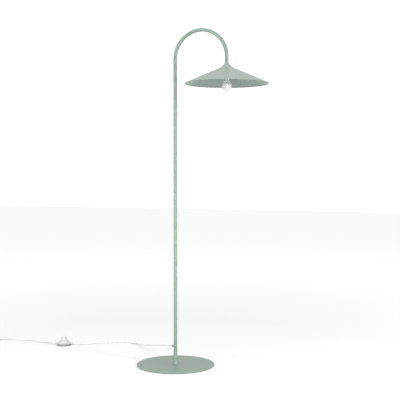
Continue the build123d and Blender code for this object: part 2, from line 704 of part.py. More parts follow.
def spaced_points(radius, first=45.0, count=4):
    """Points spaced evenly round the dimmer's axis."""
    angles = [math.radians(first + 360 / count * index) for index in range(count)]
    return [(radius * math.cos(a), radius * math.sin(a)) for a in angles]


def cord_tunnel(radius, start, end):
    """A cylinder along the dimmer's cord line, on the side of the sign of start."""
    turn = 90 if start >= 0 else -90
    shape = Rot(0, turn, 0) * Cylinder(radius, abs(end - start), align=LOW)
    return Pos(start, 0, DIMMER_CORD_HEIGHT) * shape


def make_dimmer_case():
    """Base tray, rubber feet, conical cover and the screws that join them."""
    outer = DIMMER_D / 2
    base_r = outer - DIMMER_BASE_INSET
    screw_points = spaced_points(outer - CASE_SCREW_INSET)
    pad_points = spaced_points(outer - FOOT_PAD_INSET)
    tunnel_r = RELIEF_D / 2 + SLIP
    head_top = DIMMER_FLOOR + CASE_SCREW_SINK + CASE_SCREW_HEAD_HEIGHT

    base = ring(base_r, base_r - DIMMER_WALL, DIMMER_FLOOR, DIMMER_PARTING)
    base += disc(base_r, DIMMER_FLOOR, DIMMER_DECK)
    for point in spaced_points(BOARD_D / 2 - BOARD_POST_INSET):
        base += disc(BOARD_POST_R, DIMMER_DECK, BOARD_HEIGHT, point)
    for point in screw_points:
        base += disc(CASE_POST_R, DIMMER_DECK, DIMMER_PARTING, point)
    saddle_height = DIMMER_CORD_HEIGHT - CORD_R - DIMMER_DECK
    for side in (-1, 1):
        base += block((*CLAMP_SIZE, saddle_height), (side * CLAMP_RADIUS, 0, DIMMER_DECK))
    for point in screw_points:
        base -= disc(CASE_SCREW_R + 2 * SLIP, DIMMER_FLOOR - 1, DIMMER_PARTING + 1, point)
        base -= disc(CASE_SCREW_HEAD_R + 4 * SLIP, DIMMER_FLOOR - 1, head_top, point)
    for point in pad_points:
        base -= disc(FOOT_PAD_D / 2, DIMMER_FLOOR - 1, DIMMER_FLOOR + FOOT_PAD_POCKET, point)
    for side in (-1, 1):
        base -= cord_tunnel(tunnel_r, side * DIMMER_RELIEF_START, side * (outer + 2))
    save("dimmer_base", at_dimmer(base))

    pads = [disc(FOOT_PAD_D / 2, 0, FOOT_PAD_THICK, point) for point in pad_points]
    save_group("dimmer_feet", [at_dimmer(pad) for pad in pads])

    lip = DIMMER_PARTING + DIMMER_LIP_HEIGHT
    collar_low = DIMMER_COLLAR_HEIGHT - DIMMER_LIP_HEIGHT
    bore = KNOB_D / 2 + KNOB_GAP
    slope = math.atan2(collar_low - lip, outer - bore - DIMMER_WALL)
    drop = DIMMER_WALL / math.cos(slope)
    inner_lift = DIMMER_WALL * 0.6
    cover = turned([
        (outer, DIMMER_PARTING),
        (outer, lip),
        (bore + DIMMER_WALL, collar_low),
        (bore + DIMMER_WALL - COVER_TOP_ROUND, DIMMER_COLLAR_HEIGHT),
        (bore, DIMMER_COLLAR_HEIGHT),
        (bore, collar_low - drop + inner_lift),
        (outer - DIMMER_WALL, lip - drop + inner_lift),
        (outer - DIMMER_WALL, DIMMER_PARTING),
    ])
    for point in screw_points:
        roof = cover_height(math.hypot(*point) + COVER_POST_R) - drop * 0.8
        cover += disc(COVER_POST_R, DIMMER_PARTING, roof, point)
        cover -= disc(CASE_SCREW_R + SLIP, DIMMER_PARTING - 1, roof - FREE, point)
    for side in (-1, 1):
        cover -= cord_tunnel(tunnel_r, side * (outer - 4 * DIMMER_WALL), side * (outer + 2))
    save("dimmer_cover", at_dimmer(cover))

    screws = []
    head_low = DIMMER_FLOOR + CASE_SCREW_SINK
    for point in screw_points:
        screw = disc(CASE_SCREW_HEAD_R, head_low, head_top, point)
        screw += disc(CASE_SCREW_R, head_top, CASE_SCREW_TOP, point)
        for size in (CROSS_SLOT, (CROSS_SLOT[1], CROSS_SLOT[0], CROSS_SLOT[2])):
            screw -= block(size, (*point, head_low))
        screws.append(screw)
    save_group("dimmer_screws", [at_dimmer(screw) for screw in screws])


def make_dimmer_cord_parts():
    """Clamps and their screws inside the dimmer, and the tapered sleeve on each cord."""
    clamps = []
    screws = []
    sleeves = []
    cord_low = DIMMER_CORD_HEIGHT - CORD_R
    clamp_low = DIMMER_CORD_HEIGHT + CORD_R
    clamp_top = clamp_low + CLAMP_THICK
    head_r, head_height = CLAMP_SCREW_HEAD
    wall_end = DIMMER_D / 2 - DIMMER_RELIEF_START + FREE
    for side in (-1, 1):
        clamp = block((*CLAMP_SIZE, CLAMP_THICK), (side * CLAMP_RADIUS, 0, clamp_low))
        for across in (-1, 1):
            place = (side * CLAMP_RADIUS, across * CLAMP_SCREW_OFFSET)
            clamp += disc(CLAMP_LEG_R, cord_low, clamp_low, place)
            clamp -= disc(CLAMP_HOLE_R, cord_low - 1, clamp_top + 1, place)
            screw = disc(CLAMP_SCREW_R, cord_low, clamp_top, place)
            screws.append(screw + disc(head_r, clamp_top, clamp_top + head_height, place))
        clamps.append(clamp)
        sleeve = turned([
            (CORD_R, 0),
            (RELIEF_D / 2, 0),
            (RELIEF_D / 2, wall_end),
            (CORD_R + RELIEF_TIP_WALL, DIMMER_RELIEF_LENGTH),
            (CORD_R, DIMMER_RELIEF_LENGTH),
        ])
        start = Pos(side * DIMMER_RELIEF_START, 0, DIMMER_CORD_HEIGHT)
        sleeves.append(start * Rot(0, side * 90, 0) * sleeve)
    save_group("cord_clamps", [at_dimmer(piece) for piece in clamps])
    save_group("clamp_screws", [at_dimmer(piece) for piece in screws])
    save_group("dimmer_sleeves", [at_dimmer(piece) for piece in sleeves])


def make_dimmer_works():
    """Circuit board with its components, the switch body, its slider and spring."""
    top = BOARD_HEIGHT + BOARD_THICK
    board = disc(BOARD_D / 2, BOARD_HEIGHT, top)
    save("circuit_board", at_dimmer(board))

    shaft_r = SHAFT_D / 2
    body_top = top + SWITCH_BODY_HEIGHT
    body = disc(SWITCH_BODY_R, top, body_top)
    body -= disc(SLIDER_R + SLIP, top + SWITCH_FLOOR, body_top + 1)
    body -= disc(shaft_r + FREE, top - 1, top + SWITCH_FLOOR + 1)
    save("dimmer_switch_body", at_dimmer(body))

    flange_low = body_top + SLIDER_RISE
    flange_top = flange_low + SLIDER_FLANGE_THICK
    slider_low = top + SWITCH_FLOOR + KNOB_TRAVEL + FREE
    slider = disc(SLIDER_R, slider_low, flange_low)
    slider += disc(SWITCH_BODY_R, flange_low, flange_top)
    slider -= disc(shaft_r + SLIP, slider_low - 1, flange_top + 1)
    save("switch_slider", at_dimmer(slider))

    length = SLIDER_RISE - 2 * SPRING_WIRE_R
    helix = Helix(pitch=length / SPRING_TURNS, height=length, radius=SPRING_R)
    start = Plane(helix @ 0, z_dir=helix % 0)
    wire = sweep(start * Circle(SPRING_WIRE_R), helix, is_frenet=True)
    save("return_spring", at_dimmer(Pos(0, 0, body_top + SPRING_WIRE_R) * wire))

    clear_r = KNOB_D / 2 + WORKS_GAP
    triac_place = clear_r + TRIAC_SIZE[1] / 2
    tab_place = triac_place + (TRIAC_SIZE[1] + TRIAC_TAB_SIZE[1]) / 2
    triac = block(TRIAC_SIZE, (0, triac_place, top)) + block(TRIAC_TAB_SIZE, (0, tab_place, top))
    save("dimmer_triac", at_dimmer(triac))
    choke = ring(CHOKE_R, CHOKE_BORE_R, top, top + CHOKE_HEIGHT, (0.0, CHOKE_PLACE))
    save("dimmer_choke", at_dimmer(choke))
    capacitor_place = clear_r + CAPACITOR_SIZE[0] / 2
    save("dimmer_capacitor", at_dimmer(block(CAPACITOR_SIZE, (-capacitor_place, 0, top))))
    fuse = Rot(90, 0, 0) * Cylinder(FUSE_R, FUSE_LENGTH)
    save("dimmer_fuse", at_dimmer(Pos(FUSE_PLACE, 0, top + FUSE_R + FUSE_LIFT) * fuse))
    blocks = []
    for side in (-1, 1):
        place = side * TERMINAL_BLOCK_PLACE
        piece = block(TERMINAL_BLOCK_SIZE, (place, 0, DIMMER_DECK))
        for across in (-1, 1):
            hole_at = (place, across * BLOCK_HOLE_SPACING / 2)
            piece -= disc(BLOCK_HOLE_R, DIMMER_DECK + BLOCK_HOLE_RISE, BOARD_HEIGHT, hole_at)
        blocks.append(piece)
    save_group("terminal_blocks", [at_dimmer(piece) for piece in blocks])
    return flange_top


def make_dimmer_knob(seat):
    """The turning knob, with its ribs and hollow skirt, and the shaft that it turns."""
    outer = KNOB_D / 2
    skirt_low = DIMMER_COLLAR_HEIGHT - KNOB_SKIRT
    crown = KNOB_HEIGHT
    shoulder = crown - KNOB_CROWN_HEIGHT
    edge_r = outer - KNOB_DRAFT
    crown_r = (edge_r ** 2 + KNOB_CROWN_HEIGHT ** 2) / (2 * KNOB_CROWN_HEIGHT)
    half_angle = math.asin(edge_r / crown_r) / 2
    half_way = (crown_r * math.sin(half_angle), crown - crown_r * (1 - math.cos(half_angle)))
    dome = ThreePointArc((edge_r, shoulder), half_way, (0, crown))
    sides = Polyline((0, crown), (0, skirt_low), (outer, skirt_low), (edge_r, shoulder))
    knob = revolve(Plane.XZ * make_face([dome, sides]), Axis.Z)
    hollow_top = shoulder - KNOB_ROOF
    hollow_r = outer - KNOB_WALL
    knob -= taper(hollow_r, hollow_r - KNOB_DRAFT, skirt_low - 1, hollow_top)
    knob += disc(KNOB_STEM_R, seat + SLIP, hollow_top + 1)
    rib_low = DIMMER_COLLAR_HEIGHT + KNOB_RIB_START
    for point in spaced_points(outer + KNOB_RIB_OFFSET, 0.0, KNOB_RIB_COUNT):
        knob -= disc(KNOB_RIB_R, rib_low, shoulder - KNOB_RIB_END, point)
    shaft_top = hollow_top - KNOB_ROOF
    knob -= disc(SHAFT_D / 2, seat - 1, shaft_top)
    save("dimmer_knob", at_dimmer(knob))
    shaft_low = BOARD_HEIGHT + BOARD_THICK + KNOB_TRAVEL + SHAFT_END_GAP
    save("knob_shaft", at_dimmer(disc(SHAFT_D / 2, shaft_low, shaft_top)))


# ---------------------------------------------------------------- free cord, coil and plug
def corner_radii(route, label):
    """Arc radius at each inner point: 0.45 of the shorter run over the tangent of half the turn."""
    points = [Vector(*point) for point in route]
    radii = []
    for before, here, after in zip(points, points[1:], points[2:]):
        into = here - before
        out = after - here
        half_turn = math.radians(into.get_angle(out) / 2)
        radii.append(0.45 * min(into.length, out.length) / math.tan(half_turn))
    print(label, "radii", [round(radius) for radius in radii])
    return radii


def cord_tube(route, label):
    """A round cord along straight runs joined by tangent arcs."""
    path = FilletPolyline(*route, radius=corner_radii(route, label))
    tube = sweep(Plane(path @ 0, z_dir=path % 0) * Circle(CORD_R), path)
    expected = math.pi * CORD_R ** 2 * path.length
    print(label, "length", round(path.length, 1), "volume over section x length",
          round(tube.volume / expected, 5))
    return tube


def coil_frame():
    """Centre of the coil, and the unit direction in which the cord enters it."""
    last = SUPPLY_ROUTE[-2]
    run = Vector(COIL_ENTRY[0] - last[0], COIL_ENTRY[1] - last[1], 0).normalized()
    left = Vector(-run.Y, run.X, 0)
    centre = Vector(COIL_ENTRY[0], COIL_ENTRY[1], 0) + left * (COIL_MIDDLE_D / 2)
    return centre, run


def make_cords():
    """The two free lengths of cord, the put-away coil and its tie, and the plug."""
    save("lead_cord", cord_tube(LEAD_ROUTE, "lead_cord"))
    save("supply_cord", cord_tube(SUPPLY_ROUTE, "supply_cord"))

    centre, run = coil_frame()
    middle = COIL_MIDDLE_D / 2
    half_width = COIL_TURNS_WIDE * CORD_D / 2
    height = COIL_TURNS_HIGH * CORD_D
    coil = ring(middle + half_width, middle - half_width, 0, height, (centre.X, centre.Y))
    coil = fillet(coil.edges(), COIL_EDGE_ROUND)
    save("cord_coil", coil)

    outer = middle + half_width
    inner = middle - half_width
    band = ring(outer + TIE_THICK, inner - TIE_THICK, 0, height + TIE_THICK)
    band -= ring(outer, inner, -1, height)
    band &= block((2 * outer, TIE_WIDTH, 3 * height), (outer, 0, -1))
    save("coil_tie", Pos(centre.X, centre.Y, 0) * Rot(0, 0, TIE_ANGLE) * band)

    leave = math.radians(COIL_EXIT_ANGLE)
    out_dir = Vector(-math.sin(leave), math.cos(leave), 0)
    out_side = Vector(math.cos(leave), math.sin(leave), 0)
    top_layer = height - CORD_R
    start = centre + out_side * middle + Vector(0, 0, top_layer)
    axis_height = PLUG_THICK / 2
    tail_end = start + out_dir * TAIL_LENGTH + out_side * TAIL_SIDESTEP
    tail_end = Vector(tail_end.X, tail_end.Y, axis_height)
    bend = start + out_dir * TAIL_BEND
    bend = Vector(bend.X, bend.Y, axis_height)
    heading = Vector(tail_end.X - bend.X, tail_end.Y - bend.Y, 0).normalized()
    tail = [tuple(start), tuple(bend), tuple(tail_end)]
    save("plug_cord", cord_tube(tail, "plug_cord"))
    place = Plane(tail_end, x_dir=Vector(0, 0, 1), z_dir=heading)
    make_plug(place)


def make_plug(place):
    """A flat two-pin plug lying on the floor, its pins along the plane's normal."""
    relief = turned([
        (0, 0),
        (CORD_R + RELIEF_TIP_WALL, 0),
        (RELIEF_D / 2 + PLUG_RELIEF_SWELL, PLUG_RELIEF_LENGTH),
        (0, PLUG_RELIEF_LENGTH),
    ])
    save("plug_relief", place * relief)
    body_low = PLUG_RELIEF_LENGTH
    middle = body_low + PLUG_LENGTH / 2
    tail = RectangleRounded(PLUG_THICK - PLUG_TAIL_THINNER, PLUG_TAIL_WIDTH, PLUG_CORNER_R)
    section = Pos(0, 0, middle) * RectangleRounded(PLUG_THICK, PLUG_WIDTH, PLUG_CORNER_R)
    body = loft([Pos(0, 0, body_low) * tail, section])
    body += extrude(section, PLUG_LENGTH / 2)
    face = body_low + PLUG_LENGTH
    body = chamfer(body.edges().group_by(Axis.Z)[-1], PLUG_FACE_CHAMFER)
    pins = []
    for side in (-1, 1):
        at = (0.0, side * PLUG_PIN_SPACING / 2)
        pin = disc(PLUG_PIN_D / 2, face, face + PLUG_PIN_LENGTH, at)
        pin = fillet(pin.edges().group_by(Axis.Z)[-1], PLUG_PIN_ROUND)
        pins.append(pin + disc(PLUG_PIN_ROOT_D / 2, face - PLUG_PIN_ROOT, face, at))
        body -= disc(PLUG_PIN_ROOT_D / 2, face - PLUG_PIN_ROOT, face + 1, at)
    save("plug_body", place * body)
    save_group("plug_pins", [place * pin for pin in pins])


make_base()
make_upright()
make_gland()
make_swivel()
make_arm()
make_inner_cable()
make_shade()
make_lampholder()
make_bulb()
make_dimmer_case()
make_dimmer_cord_parts()
make_dimmer_knob(make_dimmer_works())
make_cords()
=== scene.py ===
"""The looks of a swan-neck floor lamp with a cone shade and a foot dimmer.

Metres, +Z up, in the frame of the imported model. Each sub-assembly is a class that makes its own
meshes and dresses them, and each finish is a small class that makes one material.
"""

import logging
import math
from dataclasses import dataclass, replace
from enum import Enum
from functools import cache
from typing import Callable, Optional, Sequence, Union

import bmesh
import bpy
from mathutils import Matrix, Vector


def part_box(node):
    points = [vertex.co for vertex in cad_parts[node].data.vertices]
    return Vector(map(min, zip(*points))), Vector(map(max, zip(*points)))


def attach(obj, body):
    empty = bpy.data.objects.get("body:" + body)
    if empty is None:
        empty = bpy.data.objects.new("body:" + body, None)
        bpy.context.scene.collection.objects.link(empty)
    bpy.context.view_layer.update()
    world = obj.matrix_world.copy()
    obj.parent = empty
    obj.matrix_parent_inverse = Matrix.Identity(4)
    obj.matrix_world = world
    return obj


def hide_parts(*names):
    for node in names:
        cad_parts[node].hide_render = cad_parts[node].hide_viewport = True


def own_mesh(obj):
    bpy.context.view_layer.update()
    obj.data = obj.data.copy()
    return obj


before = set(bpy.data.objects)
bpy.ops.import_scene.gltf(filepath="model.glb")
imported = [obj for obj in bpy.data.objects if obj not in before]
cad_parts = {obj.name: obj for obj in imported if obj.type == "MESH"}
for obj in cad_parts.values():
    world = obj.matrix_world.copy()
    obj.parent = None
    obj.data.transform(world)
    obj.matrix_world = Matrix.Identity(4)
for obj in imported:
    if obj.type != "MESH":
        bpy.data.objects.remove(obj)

LOG = logging.getLogger("floor_lamp")
MM = 0.001
FULL_TURN = 2 * math.pi
SHARP_ANGLE = math.radians(34)      # edges that turn more than this stay crisp

Point2 = tuple[float, float]
Corner = tuple[float, float, float]
Colour = tuple[float, float, float]
Value = Union[float, int, Sequence[float], bpy.types.NodeSocket]


class Body(str, Enum):
    """The rigid bodies of the lamp."""

    STAND = "stand"
    ARM = "arm"
    PUSH = "switch_push"
    DIAL = "dial"


class Side(int, Enum):
    """One of the two sides of a mirrored pair."""

    LEFT = -1
    RIGHT = 1


# ---------------------------------------------------------------- places and outlines
@dataclass(frozen=True)
class Extent:
    """The lowest and highest corners of a CAD node at rest."""

    low: Vector
    high: Vector

    @classmethod
    def of(cls, node: str) -> "Extent":
        """Read the extent of one CAD node."""
        return cls(*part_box(node))

    @property
    def centre(self) -> Vector:
        """The middle of the box."""
        return (self.low + self.high) / 2

    @property
    def radius(self) -> float:
        """Half the width along X, which is the radius of an upright round piece."""
        return (self.high.x - self.low.x) / 2

    def at(self, height: float = 0.0) -> Vector:
        """The point on the vertical axis of the box at a height."""
        return Vector((self.centre.x, self.centre.y, height))


def rounded(corners: Sequence[Corner], steps: int = 5, hold: float = 0.25 * MM) -> list[Point2]:
    """Round the corners of an open outline and add points that hold its flats.

    Args:
        corners: (radius, height, rounding) of each corner; rounding 0 leaves it sharp.
        steps: points along each rounded corner.
        hold: distance of the holding points from the ends of a long straight run.

    Returns:
        The (radius, height) points of the outline.
    """
    places = [Vector(corner[:2]) for corner in corners]
    points: list[Vector] = [places[0]]
    for before, here, after, corner in zip(places, places[1:], places[2:], corners[1:]):
        back = (before - here).normalized()
        ahead = (after - here).normalized()
        half = math.acos(max(-1.0, min(1.0, -back.dot(ahead)))) / 2
        limit = 0.45 * min((before - here).length, (after - here).length)
        reach = min(corner[2] * math.tan(half), limit)
        if reach < 1e-7:
            points.append(here)
            continue
        for index in range(steps + 1):
            share = index / steps
            start = here + back * reach * (1 - share)
            end = here + ahead * reach * share
            points.append(start.lerp(end, share))
    points.append(places[-1])
    held = [points[0]]
    for first, second in zip(points, points[1:]):
        run = second - first
        if run.length > 8 * hold:
            held.append(first + run.normalized() * hold)
            held.append(second - run.normalized() * hold)
        held.append(second)
    return [(point.x, point.y) for point in held]


# ---------------------------------------------------------------- meshes
def crease(work: bmesh.types.BMesh, angle: float = SHARP_ANGLE) -> None:
    """Shade every face smooth, and keep the edges that turn more than the angle crisp.

    Args:
        work: the mesh that is being made.
        angle: the limit, in radians.
    """
    for face in work.faces:
        face.smooth = True
    for edge in work.edges:
        edge.smooth = not (edge.is_manifold and edge.calc_face_angle() > angle)


def to_mesh(work: bmesh.types.BMesh, name: str) -> bpy.types.Mesh:
    """Close a working mesh into a Blender mesh with its faces pointing outwards.

    Args:
        work: the mesh that was made, which is freed.
        name: the name of the result.

    Returns:
        The finished mesh.
    """
    bmesh.ops.remove_doubles(work, verts=work.verts, dist=1e-7)
    bmesh.ops.recalc_face_normals(work, faces=work.faces)
    crease(work)
    made = bpy.data.meshes.new(name)
    work.to_mesh(made)
    work.free()
    return made


def skin(work: bmesh.types.BMesh, rings: Sequence[Sequence[bmesh.types.BMVert]]) -> None:
    """Join rings of vertices with faces; a ring of one vertex is a pole.

    Args:
        work: the mesh that is being made.
        rings: the rings in order, of equal length apart from the poles.
    """
    for first, second in zip(rings, rings[1:]):
        count = max(len(first), len(second))
        for index in range(count):
            following = (index + 1) % count
            corners = [first[index % len(first)], first[following % len(first)]]
            corners += [second[following % len(second)], second[index % len(second)]]
            face = list(dict.fromkeys(corners))
            if len(face) > 2:
                work.faces.new(face)


def lathe(
    name: str,
    outline: Sequence[Point2],
    steps: int = 96,
    shape: Optional[Callable[[float, float, float], float]] = None,
) -> bpy.types.Mesh:
    """Turn an outline about the Z axis.

    Args:
        name: the name of the mesh.
        outline: (radius, height) points; the ends lie on the axis or meet each other.
        steps: vertices round the axis.
        shape: gives the radius from the outline's radius, its height and the angle.

    Returns:
        A closed mesh about the Z axis.
    """
    work = bmesh.new()
    rings = []
    for radius, height in outline:
        if radius < 1e-7:
            rings.append([work.verts.new((0.0, 0.0, height))])
            continue
        ring = []
        for index in range(steps):
            angle = FULL_TURN * index / steps
            reach = shape(radius, height, angle) if shape else radius
            ring.append(work.verts.new((reach * math.cos(angle), reach * math.sin(angle), height)))
        rings.append(ring)
    skin(work, rings)
    return to_mesh(work, name)


def loft(
    name: str, sections: Sequence[Callable[[float], Vector]], steps: int = 64
) -> bpy.types.Mesh:
    """Join closed sections into one solid with flat ends.

    Args:
        name: the name of the mesh.
        sections: each gives the place of a section's edge at an angle.
        steps: vertices round each section.

    Returns:
        A closed mesh.
    """
    work = bmesh.new()
    rings = [[work.verts.new(section(FULL_TURN * index / steps)) for index in range(steps)]
             for section in sections]
    skin(work, rings)
    work.faces.new(rings[0])
    work.faces.new(rings[-1])
    return to_mesh(work, name)


def joined(name: str, meshes: Sequence[bpy.types.Mesh]) -> bpy.types.Mesh:
    """Put several meshes into one.

    Args:
        name: the name of the result.
        meshes: the meshes, which are used up.

    Returns:
        One mesh that holds them all.
    """
    work = bmesh.new()
    for mesh in meshes:
        work.from_mesh(mesh)
        bpy.data.meshes.remove(mesh)
    made = bpy.data.meshes.new(name)
    work.to_mesh(made)
    work.free()
    return made


def placed(mesh: bpy.types.Mesh, place: Matrix) -> bpy.types.Mesh:
    """Move a mesh's vertices and return it."""
    mesh.transform(place)
    return mesh


def pointing(origin: Vector, heading: Vector, up: Vector = Vector((0, 0, 1))) -> Matrix:
    """A placement whose +Z runs along a heading and whose +Y stays closest to up.

    Args:
        origin: where the piece's own origin goes.
        heading: the direction of the piece's +Z.
        up: the direction that +Y keeps to.

    Returns:
        The placement.
    """
    ahead = heading.normalized()
    across = up.cross(ahead).normalized()
    lift = ahead.cross(across)
    return Matrix.Translation(origin) @ Matrix((across, lift, ahead)).transposed().to_4x4()


def add_piece(
    name: str,
    mesh: Union[bpy.types.Mesh, bpy.types.Curve],
    finish: "Finish",
    body: Body,
    stands_for: Sequence[str] = (),
) -> bpy.types.Object:
    """Put a finished piece in the scene, dress it and let it ride on its body.

    Args:
        name: the piece's name.
        mesh: its shape, in place.
        finish: what it is finished with.
        body: the body that it moves with.
        stands_for: the CAD nodes that it replaces.

    Returns:
        The new object.
    """
    piece = bpy.data.objects.new(name, mesh)
    bpy.context.scene.collection.objects.link(piece)
    mesh.materials.clear()
    mesh.materials.append(finish.material())
    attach(piece, body.value)
    if stands_for:
        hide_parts(*stands_for)
    LOG.info("%s: made, rides on %s, finish %s", name, body.value, finish.slot)
    return piece


def add_turned(
    name: str,
    outline: Sequence[Point2],
    steps: int,
    finish: "Finish",
    body: Body,
    node: str,
) -> None:
    """Turn an outline about the upright axis of the CAD node that it replaces.

    Args:
        name: the piece's name.
        outline: (radius, height) points, at their real heights.
        steps: vertices round the axis.
        finish: what it is finished with.
        body: the body that it moves with.
        node: the CAD node that it replaces.
    """
    place = Matrix.Translation(Extent.of(node).at())
    add_piece(name, placed(lathe(name, outline, steps), place), finish, body, [node])


# ---------------------------------------------------------------- node trees
class Graph:
    """Short calls that add the nodes of one tree and join them."""

    def __init__(self, tree: bpy.types.NodeTree) -> None:
        """Work on a tree."""
        self.tree = tree

    def add(self, kind: str, inputs: Optional[dict] = None, **settings: object) -> bpy.types.Node:
        """Add a node.

        Args:
            kind: the node's type.
            inputs: values or outputs of other nodes, by the socket's name or number.
            settings: properties of the node itself.

        Returns:
            The new node.
        """
        made = self.tree.nodes.new(kind)
        for key, value in settings.items():
            setattr(made, key, value)
        self.fill(made, inputs or {})
        return made

    def feed(self, socket: bpy.types.NodeSocket, value: Value) -> None:
        """Join a socket to an output, or give it a value."""
        if isinstance(value, bpy.types.NodeSocket):
            self.tree.links.new(value, socket)
        else:
            socket.default_value = value

    def maths(self, operation: str, *values: Value) -> bpy.types.NodeSocket:
        """Add a math node and return its result."""
        kind = "ShaderNodeMath"
        return self.add(kind, dict(enumerate(values)), operation=operation).outputs[0]

    def blend(self, share: Value, first: Value, second: Value) -> bpy.types.NodeSocket:
        """Mix two colours and return the result."""
        node = self.add("ShaderNodeMix", {0: share, 6: first, 7: second}, data_type="RGBA")
        return node.outputs[2]

    def spread(self, value: Value, low: Point2, high: Point2) -> bpy.types.NodeSocket:
        """Map a value from one range to another.

        Args:
            value: what is mapped.
            low: where the input range begins and what that gives.
            high: where it ends and what that gives.

        Returns:
            The mapped value.
        """
        ends = {"Value": value, "From Min": low[0], "From Max": high[0],
                "To Min": low[1], "To Max": high[1]}
        return self.add("ShaderNodeMapRange", ends).outputs[0]

    def group(self, tree: bpy.types.NodeTree, inputs: dict[str, Value]) -> bpy.types.Node:
        """Add a shader node group with its inputs filled in."""
        return self.add("ShaderNodeGroup", inputs, node_tree=tree)

    def product(self, share: Value, first: Value, second: Value) -> bpy.types.NodeSocket:
        """Multiply two colours, by a share of the second, and return the result."""
        return self.add("ShaderNodeMix", {0: share, 6: first, 7: second}, data_type="RGBA",
                        blend_type="MULTIPLY").outputs[2]

    def fill(self, node: bpy.types.Node, inputs: dict) -> None:
        """Fill in several inputs of a node, by name or number."""
        for key, value in inputs.items():
            self.feed(node.inputs[key], value)

    def noise(self, place: Value, scale: Value, detail: float = 3.0) -> bpy.types.NodeSocket:
        """Add smooth noise and return its value."""
        node = self.add("ShaderNodeTexNoise", {"Vector": place, "Scale": scale, "Detail": detail})
        return node.outputs[0]


class SocketKind(str, Enum):
    """Types of the sockets of a node group."""

    NUMBER = "NodeSocketFloat"
    COUNT = "NodeSocketInt"
    COLOUR = "NodeSocketColor"
    PLACE = "NodeSocketVector"
    SHAPE = "NodeSocketGeometry"
    MATERIAL = "NodeSocketMaterial"


@dataclass(frozen=True)
class GroupFace:
    """The named inputs and outputs of a node group."""

    name: str
    inputs: tuple[tuple[str, SocketKind], ...]
    outputs: tuple[tuple[str, SocketKind], ...]

    def begin(self, kind: str) -> tuple[bpy.types.NodeTree, Graph, dict]:
        """Start the group's tree.

        Args:
            kind: "ShaderNodeTree" or "GeometryNodeTree".

        Returns:
            The tree, a graph that adds to it, and the group's input sockets by name.
        """
        tree = bpy.data.node_groups.new(self.name, kind)
        for name, socket in self.inputs:
            tree.interface.new_socket(name=name, in_out="INPUT", socket_type=socket.value)
        for name, socket in self.outputs:
            tree.interface.new_socket(name=name, in_out="OUTPUT", socket_type=socket.value)
        graph = Graph(tree)
        entry = graph.add("NodeGroupInput")
        return tree, graph, {name: entry.outputs[name] for name, _ in self.inputs}

    def end(self, graph: Graph, results: Sequence[bpy.types.NodeSocket]) -> None:
        """Join the results to the group's outputs, in their order."""
        graph.add("NodeGroupOutput", dict(enumerate(results)))


